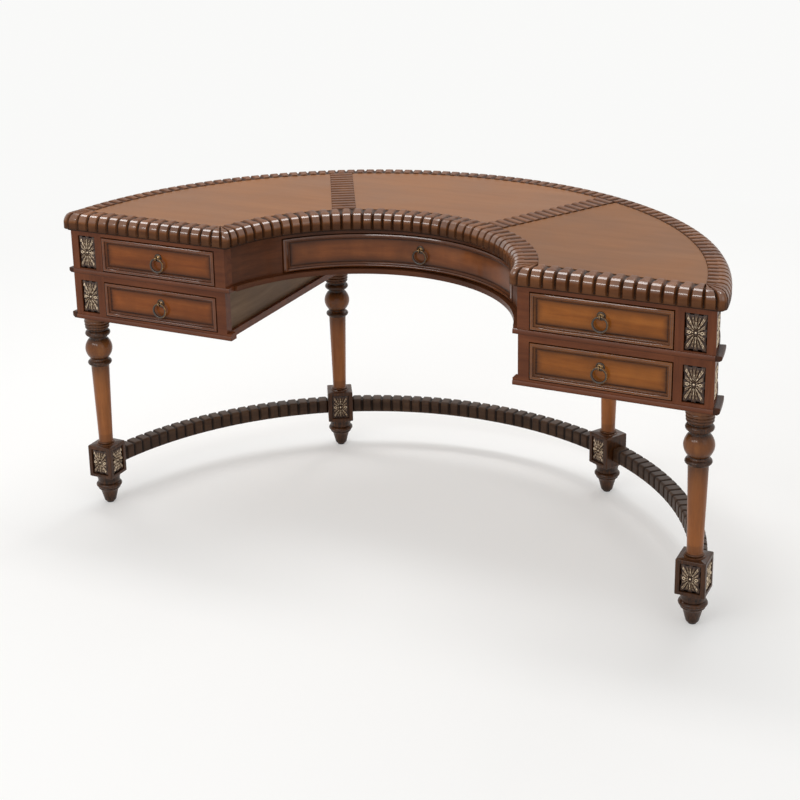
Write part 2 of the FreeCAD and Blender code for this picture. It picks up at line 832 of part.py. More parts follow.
def leg(label, x, y, turn, carved):
    body = piece(label, doc.addObject("PartDesign::Body", label))
    section = sketch_on(body, f"{label}_section", "XZ_Plane")
    outline(section, leg_outline())
    revolve(body, section)
    block = sketch_on(body, f"{label}_block", "XY_Plane", block_z)
    rectangle(block, dim.block_width, dim.block_width)
    pad(body, block, dim.block_height)
    depths = {"XZ_Plane": dim.block_width, "YZ_Plane": dim.block_width}
    middle = block_z + dim.block_height / 2
    for face in carved:
        carve(body, face, depths, [middle], dim.block_carving_width, dim.block_carving_height)
    place(body, x, y, 0)
    bind(body, "Placement.Rotation.Angle", turn)


def glide(label, x, y):
    made = doc.addObject("Part::Cylinder", label)
    bind(made, "Radius", dim.glide_radius)
    bind(made, "Height", dim.glide_height)
    place(made, x, y, 0)
    return made


glides = []
for name, side in sides.items():
    leg(f"leg_front_{name}", front_leg_x * side, front_leg_y, as_size(0), ("front", "left", "right"))
    leg(f"leg_back_{name}", back_leg_x * side, back_leg_y, back_leg_angle * -side, ("front", "back"))
    glides.append(glide(f"glide_front_{name}", front_leg_x * side, front_leg_y))
    glides.append(glide(f"glide_back_{name}", back_leg_x * side, back_leg_y))
piece("foot_glides", group("foot_glides", *glides))

# Stretchers: one curved bar between each two blocks

stretcher_radius = leg_radius + dim.stretcher_outset
stretcher_inner = stretcher_radius - dim.stretcher_width / 2
stretcher_outer = stretcher_radius + dim.stretcher_width / 2
stretcher_zs = (dim.stretcher_z, dim.stretcher_z + dim.stretcher_height)
block_zs = (block_z, block_z + dim.block_height)
block_tools = {
    name: radial_slab(f"stretcher_block_{name}", post_turns[name],
                      (leg_radius - half_block, leg_radius + half_block),
                      (-half_block, half_block), block_zs)
    for name in sides
}
for name, side in sides.items():
    label = f"stretcher_{name}"
    bar = ring(label, stretcher_inner, stretcher_outer, stretcher_zs)
    stretch = slab(f"{label}_stretch", across(side, back_leg_x, reach),
                   (front_leg_y + half_block, reach), through)
    piece(label, cut(label, common(label, bar, stretch), block_tools[name]))
bar = ring("stretcher_back", stretcher_inner, stretcher_outer, stretcher_zs)
stretch = slab("stretcher_back_stretch", (-back_leg_x, back_leg_x), (0, reach), through)
bar = common("stretcher_back", bar, stretch)
piece("stretcher_back", cut("stretcher_back", bar, *block_tools.values()))

doc.recompute()

for made in doc.Objects:
    if "Invalid" in made.State or "Error" in made.State:
        raise RuntimeError(f"{made.Name} did not compute: {made.State}")
    if made.isDerivedFrom("PartDesign::Pocket") and made.Shape.Volume >= made.BaseFeature.Shape.Volume:
        raise RuntimeError(f"{made.Name} removes nothing")
for label, made in pieces.items():
    if made.Shape.isNull() or not made.Shape.isValid() or not made.Shape.Solids:
        raise RuntimeError(f"{label} has no valid solid")

os.makedirs("parts", exist_ok=True)
for label, made in pieces.items():
    made.Shape.exportStep(os.path.join("parts", f"{label}.step"))
print(f"{len(pieces)} sub-parts written")
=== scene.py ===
import math

import bpy
import numpy as np
from mathutils import Matrix, Vector


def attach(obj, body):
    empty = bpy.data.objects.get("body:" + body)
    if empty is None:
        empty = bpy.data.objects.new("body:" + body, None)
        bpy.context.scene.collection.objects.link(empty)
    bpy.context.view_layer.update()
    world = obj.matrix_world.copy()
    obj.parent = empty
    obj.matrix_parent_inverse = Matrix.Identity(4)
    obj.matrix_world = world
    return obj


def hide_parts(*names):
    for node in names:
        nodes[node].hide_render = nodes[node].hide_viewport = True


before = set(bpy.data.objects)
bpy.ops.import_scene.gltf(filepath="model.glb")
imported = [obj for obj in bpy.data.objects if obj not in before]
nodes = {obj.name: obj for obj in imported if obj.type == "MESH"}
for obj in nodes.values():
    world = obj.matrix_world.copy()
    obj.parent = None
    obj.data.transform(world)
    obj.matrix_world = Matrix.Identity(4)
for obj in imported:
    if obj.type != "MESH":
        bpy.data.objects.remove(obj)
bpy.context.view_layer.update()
print("desk: frame loaded,", len(nodes), "nodes")

# The plan that the pieces share, in metres: every curve has its centre at x = 0, y = arcY
plan = {
    "arcY": -0.438,
    "topZ": 0.762,
    "frontSetback": 0.066,  # from the centre back to the front edge of the top
    "topRadius": 0.810,
    "kneeRadius": 0.34993,
    "caseRadius": 0.791,
    "panelRadius": 0.779,
    "apronRadius": 0.36793,
    "legRadius": 0.760,
    "backLegTurn": math.radians(30),
    "caseFront": -0.362,
    "postBack": -0.302,
    "caseZ": 0.497,
    "lowerFloor": 0.513,
    "deckZ": 0.613,
    "upperFloor": 0.625,
    "drawerX": 0.54417,
    "drawerMiddle": 0.043,  # above the floor that the drawer runs on
}
centre = np.array([0.0, plan["arcY"], 0.0])
frontY = plan["arcY"] + plan["frontSetback"]
postY = (plan["caseFront"] + plan["postBack"]) / 2
lowerMiddle = plan["lowerFloor"] + plan["drawerMiddle"]
upperMiddle = plan["upperFloor"] + plan["drawerMiddle"]
sides = {"left": -1, "right": 1}


def srgb(red, green, blue):
    # a colour read off a screen, from 0 to 255, as linear light
    share = np.array([red, green, blue]) / 255
    linear = np.where(share < 0.04045, share / 12.92, ((share + 0.055) / 1.055) ** 2.4)
    return (*linear.tolist(), 1.0)


# Meshes from arrays


def gridFaces(rows, columns, wrapRows=False, wrapColumns=False):
    # quads between neighbouring points of a grid that is numbered row by row
    row = np.arange(rows if wrapRows else rows - 1)[:, None]
    column = np.arange(columns if wrapColumns else columns - 1)[None, :]
    nextRow = (row + 1) % rows
    nextColumn = (column + 1) % columns
    corners = (row * columns + column, row * columns + nextColumn,
               nextRow * columns + nextColumn, nextRow * columns + column)
    return np.stack(corners, -1).reshape(-1, 4)


def signedVolume(points, quads):
    # six times the volume, as each face's first corner dotted with the cross products of the others: positive
    # where the faces of a closed shell point outwards
    a, b, c, d = (points[quads[:, i]] for i in range(4))
    return (a * (np.cross(b, c) + np.cross(c, d))).sum()


def facingOut(points, quads, marks):
    # a closed shell with its faces turned over where they point inwards
    return points, quads if signedVolume(points, quads) > 0 else quads[:, ::-1], marks


def tube(section, glazeWearAndShade, wrapPath=False):
    # sections (path, profile, 3), each a closed loop, skinned and closed by a fan at both ends
    path, loop = section.shape[:2]
    points = section.reshape(-1, 3)
    quads = gridFaces(path, loop, wrapPath, True)
    marks = np.broadcast_to(glazeWearAndShade, (path, loop)).reshape(-1)
    if not wrapPath:
        ring = np.arange(loop)
        after = (ring + 1) % loop
        first = len(points)
        last = (path - 1) * loop
        points = np.vstack([points, section[0].mean(0), section[-1].mean(0)])
        marks = np.append(marks, [marks[:loop].mean(), marks[-loop:].mean()])
        start = np.stack([np.full(loop, first), after, ring, ring], -1)
        end = np.stack([np.full(loop, first + 1), last + ring, last + after, last + after], -1)
        quads = np.vstack([quads, start, end])
    return facingOut(points, quads, marks)


def joined(*shells):
    # several shells as one set of points, faces and marks
    starts = np.cumsum([0] + [len(points) for points, _, _ in shells[:-1]])
    points = np.vstack([points for points, _, _ in shells])
    quads = np.vstack([quads + start for (_, quads, _), start in zip(shells, starts)])
    return points, quads, np.concatenate([marks for _, _, marks in shells])


def addPiece(name, shell, body, material, replaced=(), sharp=38):
    # a shell as a mesh on its body: a quad that names one corner twice becomes a triangle
    points, quads, marks = shell
    startsTwice = quads[:, 0] == quads[:, 1]
    three = startsTwice | (quads[:, 2] == quads[:, 3])
    rolled = np.where(startsTwice[:, None], np.roll(quads, -1, 1), quads)
    faces = quads[~three].tolist() + rolled[three][:, :3].tolist()
    mesh = bpy.data.meshes.new(name)
    mesh.from_pydata(points.tolist(), [], faces)
    # the marks go on as a point attribute: dark glaze and painted shade on wood, rubbed wear on metal and carving
    mesh.attributes.new("glazeWearAndShade", "FLOAT", "POINT").data.foreach_set("value", marks.astype(np.float32))
    mesh.polygons.foreach_set("use_smooth", np.ones(len(mesh.polygons), bool))
    mesh.set_sharp_from_angle(angle=math.radians(sharp))
    mesh.validate()
    mesh.materials.append(material)
    piece = bpy.data.objects.new(name, mesh)
    bpy.context.scene.collection.objects.link(piece)
    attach(piece, body)
    if replaced:
        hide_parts(*replaced)


def turnedAbout(shell, angle, place):
    # a shell turned about its own upright axis and set down at a place
    points, quads, marks = shell
    c, s = math.cos(angle), math.sin(angle)
    spin = np.array([[c, -s, 0], [s, c, 0], [0, 0, 1]])
    return points @ spin.T + np.array(place), quads, marks


def profileNormals(profile):
    # the outward direction at each point of a closed loop (..., points, 2) that runs clockwise
    along = np.roll(profile, -1, -2) - np.roll(profile, 1, -2)
    normal = np.stack([-along[..., 1], along[..., 0]], -1)
    return normal / np.maximum(np.linalg.norm(normal, axis=-1, keepdims=True), 1e-9)


def ribSteps(count, fine):
    # evenly spaced places along a run of ribs, in rib lengths
    return np.linspace(0, count, count * fine + 1)


def ribForm(step, groove):
    # the fall from a rib's crown, 0 on the crown and 1 in the groove, which takes this share of a rib:
    # a quarter wave down the wall, and a crown that is slightly domed
    edge = np.abs((step % 1.0) * 2 - 1)[:, None]
    wall = np.clip((edge - 1 + groove) / groove, 0, 1)
    return 1 - (1 - np.sin(wall * np.pi / 2)) * (1 - 0.05 * edge ** 2)


def grooveMarks(fall, depth):
    # dark glaze and painted shade that grow with the fall from the crown, where there are grooves
    return np.clip(fall * 1.1 - 0.1, 0, 1) * (depth > 0)


# Finishes


def newMaterial(name):
    # an empty material, its node tree and its main shader
    material = bpy.data.materials.new(name)
    material.use_nodes = True
    tree = material.node_tree
    return material, tree, tree.nodes["Principled BSDF"]


def setInput(tree, socket, value):
    # an input linked to another node's output, or set to a plain value
    if isinstance(value, bpy.types.NodeSocket):
        tree.links.new(value, socket)
    else:
        socket.default_value = value


def addNode(tree, kind, inputs=None, **settings):
    # a node with its settings and inputs
    node = tree.nodes.new(kind)
    for key, value in settings.items():
        setattr(node, key, value)
    for key, value in (inputs or {}).items():
        setInput(tree, node.inputs[key], value)
    return node


def noise(tree, coords, scale, detail, **inputs):
    # cloudy values about 0.5
    given = {"Vector": coords, "Scale": scale, "Detail": detail, **inputs}
    return addNode(tree, "ShaderNodeTexNoise", given).outputs["Fac"]


def bumped(tree, shader, height, strength, distance):
    # a fine relief that the shader sees and the mesh doesn't have
    node = addNode(tree, "ShaderNodeBump", {"Height": height, "Strength": strength, "Distance": distance})
    tree.links.new(node.outputs["Normal"], shader.inputs["Normal"])


def ramp(tree, factor, stops):
    # a colour that runs through the stops as the factor rises
    node = addNode(tree, "ShaderNodeValToRGB", {"Fac": factor})
    elements = node.color_ramp.elements
    while len(elements) < len(stops):
        elements.new(0.5)
    for element, (place, color) in zip(elements, stops):
        element.position = place
        element.color = color
    return node.outputs["Color"]


def mixColor(tree, factor, first, second, blend="MIX"):
    # two colours blended by a factor; a Mix node's colours are its inputs 6 and 7, and its output 2
    node = addNode(tree, "ShaderNodeMix", {0: factor, 6: first, 7: second}, data_type="RGBA", blend_type=blend)
    return node.outputs[2]


def remap(tree, value, low, high, newLow, newHigh):
    # a value carried in a straight line from one range to another and held at its ends
    node = addNode(tree, "ShaderNodeMapRange", {"Value": value, "From Min": low, "From Max": high,
                                                "To Min": newLow, "To Max": newHigh})
    return node.outputs["Result"]


def calculate(tree, operation, first, second=0.0):
    # one sum of two values
    node = addNode(tree, "ShaderNodeMath", {0: first, 1: second}, operation=operation)
    return node.outputs[0]


def grainCoords(tree, bent):
    # Object coordinates, or on bent work the length along the curve, the radius and the height
    coords = addNode(tree, "ShaderNodeTexCoord").outputs["Object"]
    if not bent:
        return coords
    parts = addNode(tree, "ShaderNodeSeparateXYZ", {"Vector": coords}).outputs
    trueRadius = 0.6  # where bent grain keeps its length
    depth = calculate(tree, "SUBTRACT", parts["Y"], plan["arcY"])
    angle = calculate(tree, "ARCTAN2", parts["X"], depth)
    across = calculate(tree, "MULTIPLY", parts["X"], parts["X"])
    along = calculate(tree, "MULTIPLY", depth, depth)
    radius = calculate(tree, "SQRT", calculate(tree, "ADD", across, along))
    length = calculate(tree, "MULTIPLY", angle, trueRadius)
    return addNode(tree, "ShaderNodeCombineXYZ", {"X": length, "Y": radius, "Z": parts["Z"]}).outputs[0]


def woodFinish(name, look):
    # stained wood: long grain in three tones, with pores and a cloudy stain multiplied over it, a dark colour where
    # the piece's mark is above 0, which is dark glaze and painted shade, and more polish where it is below 0, which
    # edgeDark darkens too
    material, tree, shader = newMaterial(name)
    coords = grainCoords(tree, look.get("bent", False))
    long = addNode(tree, "ShaderNodeMapping", {"Vector": coords, "Scale": look["grain"]}).outputs[0]
    streak = noise(tree, long, 1.0, 7.0, Roughness=0.62, Distortion=0.35)
    pores = noise(tree, long, 5.5, 4.0, Roughness=0.7)
    cloud = noise(tree, coords, look.get("cloud", 9.0), 3.0, Roughness=0.55)
    base = ramp(tree, streak, ((0.30, look["deep"]), (0.50, look["mid"]), (0.72, look["light"])))
    poreShade = remap(tree, pores, 0.33, 0.5, 1 - look.get("pores", 0.25), 1.0)
    stainShade = remap(tree, cloud, 0.3, 0.7, 1 - look["stain"], 1 + look["stain"] * 0.5)
    base = mixColor(tree, 1.0, base, poreShade, "MULTIPLY")
    base = mixColor(tree, 1.0, base, stainShade, "MULTIPLY")
    rough = remap(tree, cloud, 0.25, 0.75, *look["rough"])
    coat = look["coat"]
    if "glazeWearAndShade" in look:
        mark = addNode(tree, "ShaderNodeAttribute", attribute_name="glazeWearAndShade").outputs["Fac"]
        speckle = remap(tree, pores, 0.3, 0.7, 0.75, 1.1)
        amount = addNode(tree, "ShaderNodeClamp", {"Value": calculate(tree, "MULTIPLY", mark, speckle)}).outputs[0]
        if "edgeDark" in look:
            amount = calculate(tree, "MAXIMUM", amount, calculate(tree, "MULTIPLY", mark, -look["edgeDark"]))
        base = mixColor(tree, amount, base, look["glazeWearAndShade"])
        rough = calculate(tree, "ADD", rough, calculate(tree, "MULTIPLY", amount, 0.18))
        if "polish" in look:
            coat = remap(tree, mark, 0.0, -1.0, look["coat"], look["polish"])
    relief = calculate(tree, "ADD", pores, calculate(tree, "MULTIPLY", streak, 0.6))
    bumped(tree, shader, relief, look["bump"], 0.0008)
    for socket, value in (("Base Color", base), ("Roughness", rough), ("Coat Weight", coat),
                          ("Coat Roughness", look.get("coatRough", 0.18)), ("Coat IOR", look.get("coatIor", 1.5)),
                          ("Specular IOR Level", look.get("specular", 0.5))):
        setInput(tree, shader.inputs[socket], value)
    return material


def tones(deep, mid, light):
    # the three tones of one grain
    return {"deep": srgb(*deep), "mid": srgb(*mid), "light": srgb(*light)}


# What woods that are finished alike share; grain is waves to the metre along x, y and z
fieldWood = {"grain": (4, 30, 30), "cloud": 5.0, "stain": 0.15, "rough": (0.40, 0.52), "coatRough": 0.25,
             "bump": 0.03, "pores": 0.04}
caseWood = {"stain": 0.22, "rough": (0.32, 0.44), "coat": 0.12, "coatRough": 0.14, "bump": 0.06, "specular": 0.12,
            "pores": 0.10, "glazeWearAndShade": srgb(34, 17, 9)}
caseTones = tones((86, 44, 24), (99, 53, 29), (112, 62, 35))
drawerWood = {"grain": (4, 45, 50), "cloud": 11.0, "stain": 0.24, "rough": (0.32, 0.44), "coat": 0.25, "polish": 1.0,
              "edgeDark": 0.55, "coatRough": 0.12, "bump": 0.04, "specular": 0.10, "pores": 0.08,
              "glazeWearAndShade": srgb(40, 20, 10)}
woods = {
    "ribs": {**tones((94, 54, 28), (110, 67, 37), (126, 80, 46)), "grain": (14, 14, 60), "bent": True, "stain": 0.22,
             "rough": (0.34, 0.46), "coat": 0.06, "polish": 1.0, "coatRough": 0.09, "coatIor": 1.62, "bump": 0.05,
             "specular": 0.10, "pores": 0.10, "glazeWearAndShade": srgb(34, 18, 9)},
    "field": {**fieldWood, **tones((130, 86, 52), (135, 90, 56), (140, 95, 60)), "coat": 0.04, "specular": 0.12},
    # the right field is a darker copy of the field wood: painted shade
    "fieldShadedRight": {**fieldWood, **tones((122, 80, 47), (127, 84, 51), (132, 89, 55)), "coat": 0.02, "specular": 0.08},
    "case": {**caseWood, **caseTones, "grain": (6, 60, 70), "polish": 1.0},
    "upright": {**caseWood, **caseTones, "grain": (70, 70, 6)},
    # darker than the case wood, partly painted shade that matches the apron in the shade of the top
    "curved": {**caseWood, **tones((68, 36, 18), (80, 43, 22), (92, 52, 28)), "grain": (6, 60, 70), "bent": True},
    # the left drawers are a darker copy and the right ones a lighter copy of one wood: painted shade on the left,
    # painted light on the right
    "drawerLeft": {**drawerWood, **tones((110, 55, 18), (124, 65, 23), (138, 76, 31))},
    "drawerRight": {**drawerWood, **tones((126, 69, 20), (142, 81, 27), (156, 93, 36)), "stain": 0.26},
    "drawerCurved": {**drawerWood, **tones((104, 55, 24), (118, 65, 30), (131, 75, 37)), "bent": True, "coat": 0.30,
                     "specular": 0.12},
    "leg": {**tones((124, 70, 29), (140, 82, 36), (154, 94, 44)), "grain": (50, 50, 5), "stain": 0.20,
            "rough": (0.30, 0.40), "coat": 0.40, "coatRough": 0.12, "bump": 0.03, "specular": 0.10, "pores": 0.06,
            "glazeWearAndShade": srgb(30, 17, 9)},
    "dark": {**tones((54, 37, 25), (66, 46, 32), (80, 58, 41)), "grain": (10, 60, 60), "bent": True, "stain": 0.25,
             "rough": (0.36, 0.50), "coat": 0.15, "bump": 0.06, "specular": 0.12, "pores": 0.12,
             "glazeWearAndShade": srgb(22, 13, 8)},
    "shaded": {**tones((96, 74, 53), (110, 86, 63), (122, 98, 74)), "grain": (60, 5, 60), "stain": 0.16,
               "rough": (0.42, 0.56), "coat": 0.05, "bump": 0.06, "specular": 0.12, "pores": 0.10},
    "carcase": {**tones((150, 112, 76), (176, 138, 98), (196, 158, 116)), "grain": (6, 60, 60), "stain": 0.12,
                "rough": (0.55, 0.7), "coat": 0.0, "bump": 0.16},
}
finish = {name: woodFinish(name + "Wood", look) for name, look in woods.items()}


def rubbedFinish(name, look):
    # dark ground with metal-like rubbing on what stands proud, which the piece's mark of height and wear gives
    material, tree, shader = newMaterial(name)
    coords = addNode(tree, "ShaderNodeTexCoord").outputs["Object"]
    fleck = noise(tree, coords, look["fleck"], 4.0, Roughness=0.65)
    height = addNode(tree, "ShaderNodeAttribute", attribute_name="glazeWearAndShade").outputs["Fac"]
    worn = calculate(tree, "ADD", height, remap(tree, fleck, 0.3, 0.7, -0.16, 0.16))
    bumped(tree, shader, fleck, 0.12, 0.0005)
    for socket, value in (("Base Color", ramp(tree, worn, look["tones"])),
                          ("Roughness", remap(tree, worn, 0.2, 0.8, *look["rough"])),
                          ("Metallic", remap(tree, worn, 0.35, 0.75, 0.0, look["metal"])),
                          ("Coat Weight", look["coat"]), ("Coat Roughness", 0.10), ("Coat IOR", 1.6)):
        setInput(tree, shader.inputs[socket], value)
    return material


rubbed = {
    "carving": {"fleck": 420.0, "rough": (0.55, 0.30), "metal": 0.60, "coat": 0.05,
                "tones": ((0.14, srgb(46, 26, 16)), (0.46, srgb(92, 66, 46)), (0.80, srgb(220, 200, 172)))},
    "brass": {"fleck": 260.0, "rough": (0.48, 0.26), "metal": 0.80, "coat": 0.35,
              "tones": ((0.10, srgb(26, 16, 8)), (0.60, srgb(62, 41, 20)), (0.95, srgb(178, 138, 82)))},
}
finish.update({name: rubbedFinish(name + "Rubbed", look) for name, look in rubbed.items()})


def glideFinish():
    # moulded plastic with a fine pebble
    material, tree, shader = newMaterial("glidePlastic")
    coords = addNode(tree, "ShaderNodeTexCoord").outputs["Object"]
    pebble = noise(tree, coords, 900.0, 2.0)
    color = ramp(tree, pebble, ((0.3, srgb(28, 22, 18)), (0.7, srgb(46, 38, 32))))
    tree.links.new(color, shader.inputs["Base Color"])
    bumped(tree, shader, pebble, 0.2, 0.0003)
    shader.inputs["Roughness"].default_value = 0.6
    return material


finish["glide"] = glideFinish()
print("desk: finishes made")

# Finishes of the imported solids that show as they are
nodeFinish = {
    "field": ("field_left", "field_centre"),
    "fieldShadedRight": ("field_right",),
    "carcase": ("top_core", "mid_deck", "bottom_deck_left", "bottom_deck_right", "drawer_guides",
                "centre_drawer_guides", "drawer_upper_left_box", "drawer_lower_left_box",
                "drawer_upper_right_box", "drawer_lower_right_box", "drawer_centre_box"),
    "upright": ("post_front_left", "post_front_right", "post_back_left", "post_back_right"),
    "case": ("face_frame_left", "face_frame_right", "inner_moulding_left", "inner_moulding_right"),
    "curved": ("apron_frame", "side_panel_left", "side_panel_right", "back_panel"),
    "shaded": ("inner_panel_left", "inner_panel_right"),
    "glide": ("foot_glides",),
}
for key, names in nodeFinish.items():
    for name in names:
        nodes[name].data.materials.clear()
        nodes[name].data.materials.append(finish[key])

# Top: ribbed rims and bands

rim = {
    "outerWidth": 0.050,
    "innerWidth": 0.058,
    "frontWidth": 0.050,
    "height": 0.042,
    "cornerRadius": 0.014,
    "ribs": {"rim_outer": 93, "rim_inner": 40, "rim_front_left": 16, "rim_front_right": 16},
    "shine": {"rim_outer": 0.3},  # share of the polish, where it isn't all of it
    "faceShade": {"rim_inner": 0.3, "rim_outer": 0.3, "rim_front_left": 0.2},  # painted shade added below the nose
    "fine": 18,  # steps in a rib
    "topDepth": 0.0040,
    "noseDepth": 0.0060,
    "topGroove": 0.58,  # share of a rib that its groove takes
    "noseGroove": 0.32,
    # share of the flat top's width, height in millimetres, and mark: painted shade where the rib's inner end dips to
    # the field
    "top": ((0.0, -1.6, 0.7), (0.03, -0.5, 0.3), (0.08, 0, 0), (0.3, 0, 0), (0.55, 0, 0), (0.8, 0, 0)),
    # distance from the edge and height in millimetres, groove as a share of the deepest, and mark: a facet that
    # slopes by 26 degrees and a steeper one are polished, the face below them darkens towards its foot with painted
    # shade, and the shadow groove and the underside are painted dark as shade
    "nose": ((-26, 0, 0.7, 0), (-17, -0.35, 0.75, 0), (-13.6, -1.25, 0.8, -0.5), (-12.4, -1.85, 0.85, -1),
             (-8.6, -3.70, 0.9, -1), (-8.3, -3.85, 0.9, -1), (-7.4, -4.9, 1, -1), (-3.5, -10.6, 1, -1),
             (-2.7, -12.2, 1, -1), (-1.9, -13.9, 1, -1), (-1.2, -16.0, 1, -0.6), (-0.4, -18.8, 1, 0),
             (0, -22, 1, 0.2), (0, -26, 1, 0.3), (0, -30, 1, 0.36), (0, -33.5, 0.95, 0.42), (0, -35.8, 0.6, 0.5),
             (0, -37, 0, 0.6), (-0.8, -37.9, 0, 0.8), (-3, -38.3, 0, 0.9), (-8.5, -38.3, 0, 1), (-8.5, -42, 0, 1),
             (-12, -42, 0, 0.8)),
    # the flat underside is painted dark as shade
    "underShade": 0.8,
}


def polar(radius, angle):
    # the point at this radius and angle about the centre of the plan
    return np.stack([radius * np.cos(angle), plan["arcY"] + radius * np.sin(angle)], -1)


def rimRuns():
    # the right half of the rim's outside edge as three runs: arcs, straight edge and rounded corners.
    # A run is (length, function of the length that gives the edge point and the inner end of the rib)
    corner = rim["cornerRadius"]
    lift = plan["frontSetback"] + corner
    inFront = plan["frontSetback"] + rim["frontWidth"]
    quarter = math.pi / 2

    def cornerAt(radius, inRadius, lean):
        # x of the corner's circle, which lies inside the arc (lean -1) or outside it (1), its angle, and the mitre
        x = math.sqrt((radius + lean * corner) ** 2 - lift ** 2)
        mitre = np.array([math.sqrt(inRadius ** 2 - inFront ** 2), plan["arcY"] + inFront])
        return x, math.atan2(lift, x), mitre

    outer, outerIn = plan["topRadius"], plan["topRadius"] - rim["outerWidth"]
    knee, kneeIn = plan["kneeRadius"], plan["kneeRadius"] + rim["innerWidth"]
    outerX, outerTurn, outerMitre = cornerAt(outer, outerIn, -1)
    kneeX, kneeTurn, kneeMitre = cornerAt(knee, kneeIn, 1)
    halfOuter = (quarter + outerTurn) / 2 * corner
    halfKnee = (quarter - kneeTurn) / 2 * corner

    def roundCorner(x, turn):
        # the point of a corner's circle in this direction
        return np.array([x, plan["arcY"] + lift]) + corner * np.stack([np.cos(turn), np.sin(turn)], -1)

    def arcRun(radius, inRadius, x, arcEnd, mitre, firstTurn, sense):
        # from the middle of the arc to the middle of its right corner
        straight = (quarter - arcEnd) * radius
        limit = math.atan2(inFront, mitre[0])

        def run(length):
            # on the arc as far as it goes, then on the corner's circle; ribs beyond the limit end at the mitre
            angle = quarter - np.minimum(length, straight) / radius
            turn = firstTurn + sense * np.maximum(length - straight, 0) / corner
            onArc = length <= straight
            edge = np.where(onArc[:, None], polar(radius, angle), roundCorner(x, turn))
            return edge, np.where((onArc & (angle > limit))[:, None], polar(inRadius, angle), mitre)
        return straight, run

    def frontRun(length):
        # from the middle of the outer corner to the middle of the knee corner
        straight = outerX - kneeX
        turnOut = -quarter + (halfOuter - np.minimum(length, halfOuter)) / corner
        x = outerX - np.clip(length - halfOuter, 0, straight)
        turnIn = -quarter - np.maximum(length - halfOuter - straight, 0) / corner
        onFront = np.stack([x, np.full_like(x, frontY)], -1)
        edge = np.where((length < halfOuter + straight)[:, None], onFront, roundCorner(kneeX, turnIn))
        edge = np.where((length < halfOuter)[:, None], roundCorner(outerX, turnOut), edge)
        inX = np.clip(x, kneeMitre[0], outerMitre[0])
        return edge, np.stack([inX, np.full_like(x, frontY + rim["frontWidth"])], -1)

    outerArc, outerRun = arcRun(outer, outerIn, outerX, outerTurn, outerMitre, outerTurn, -1)
    kneeArc, kneeRun = arcRun(knee, kneeIn, kneeX, kneeTurn, kneeMitre, math.pi + kneeTurn, 1)
    return {"outer": (outerArc + halfOuter, outerRun), "front": (halfOuter + outerX - kneeX + halfKnee, frontRun),
            "knee": (kneeArc + halfKnee, kneeRun)}


rimRun = rimRuns()


def halfSteps(count, fine):
    # steps of a run whose two ends each cut a rib in half
    steps = ribSteps(count + 1, fine)
    return np.unique(np.clip(steps, 0.5, count + 0.5))


def rimEdge(label):
    # edge points, inner rib ends and rib steps along one rim, from corner to corner
    count = rim["ribs"][label]
    steps = halfSteps(count, rim["fine"])
    share = (steps - 0.5) / count
    if label.startswith("rim_front"):
        length, run = rimRun["front"]
        edge, inside = run(share * length)
        if label.endswith("left"):
            edge, inside = edge * (-1, 1), inside * (-1, 1)
        return edge, inside, steps
    length, run = rimRun["outer" if label == "rim_outer" else "knee"]
    way = (share * 2 - 1) * length
    edge, inside = run(np.abs(way))
    flip = np.stack([np.where(way < 0, -1.0, 1.0), np.ones_like(way)], -1)
    return edge * flip, inside * flip, steps


def rimShell(label):
    # each section stands on the line from the inner rib end to the edge: a flat top that falls to a sloping
    # nose with two facets, an upright face, a shadow groove and a flat underside, pressed in between the ribs
    edge, inside, steps = rimEdge(label)
    reach = np.linalg.norm(edge - inside, axis=1)[:, None]
    out = (edge - inside) / reach
    top, nose = np.array(rim["top"]), np.array(rim["nose"])
    flat = (len(reach), 1)
    level = np.stack([top[:, 0] * (reach + nose[0, 0] / 1000), np.tile(top[:, 1] / 1000, flat)], -1)
    bow = np.stack([reach + nose[:, 0] / 1000, np.tile(nose[:, 1] / 1000, flat)], -1)
    under = np.stack([np.zeros(flat), np.full(flat, -rim["height"])], -1)
    profile = np.concatenate([level, bow, under], 1)
    depth = np.concatenate([np.full(len(top), rim["topDepth"]), nose[:, 2] * rim["noseDepth"], [0.0]])
    groove = np.concatenate([np.full(len(top), rim["topGroove"]), np.full(len(nose) + 1, rim["noseGroove"])])
    fall = ribForm(steps, groove)
    normal = profileNormals(profile)
    normal[:, 0] = (0, 1)
    profile = profile - normal * (fall * depth)[..., None]
    points = np.concatenate([inside[:, None, :] + profile[..., :1] * out[:, None, :],
                             plan["topZ"] + profile[..., 1:]], -1)
    # the face's marks, with faceShade, paint shade below the nose, and the grooves are darkened as glaze and painted
    # shade
    face = np.minimum(nose[:, 3] + rim["faceShade"].get(label, 0.0), 1)
    polish = nose[:, 3] * rim["shine"].get(label, 1.0)
    crown = np.concatenate([top[:, 2], np.where(nose[:, 3] > 0, face, polish), [rim["underShade"]]])
    dark = grooveMarks(fall, depth)
    return tube(points, np.where(dark > 0, np.maximum(dark, crown), crown))


for label in rim["ribs"]:
    addPiece(label + "_ribbed", rimShell(label), "case", finish["ribs"], (label,))

band = {
    "turn": math.radians(28.4),
    "inner": 0.40793,
    "outer": 0.760,
    "width": 0.057,
    "thickness": 0.010,
    "edge": 0.0012,
    "ribs": 15,
    "fine": 18,
    "groove": 0.50,
    "depth": 0.0040,
    "edgeShade": 0.8,
}


def radial(turn):
    # the unit vectors outwards and across at an angle about the centre
    return np.array([math.cos(turn), math.sin(turn), 0]), np.array([-math.sin(turn), math.cos(turn), 0])


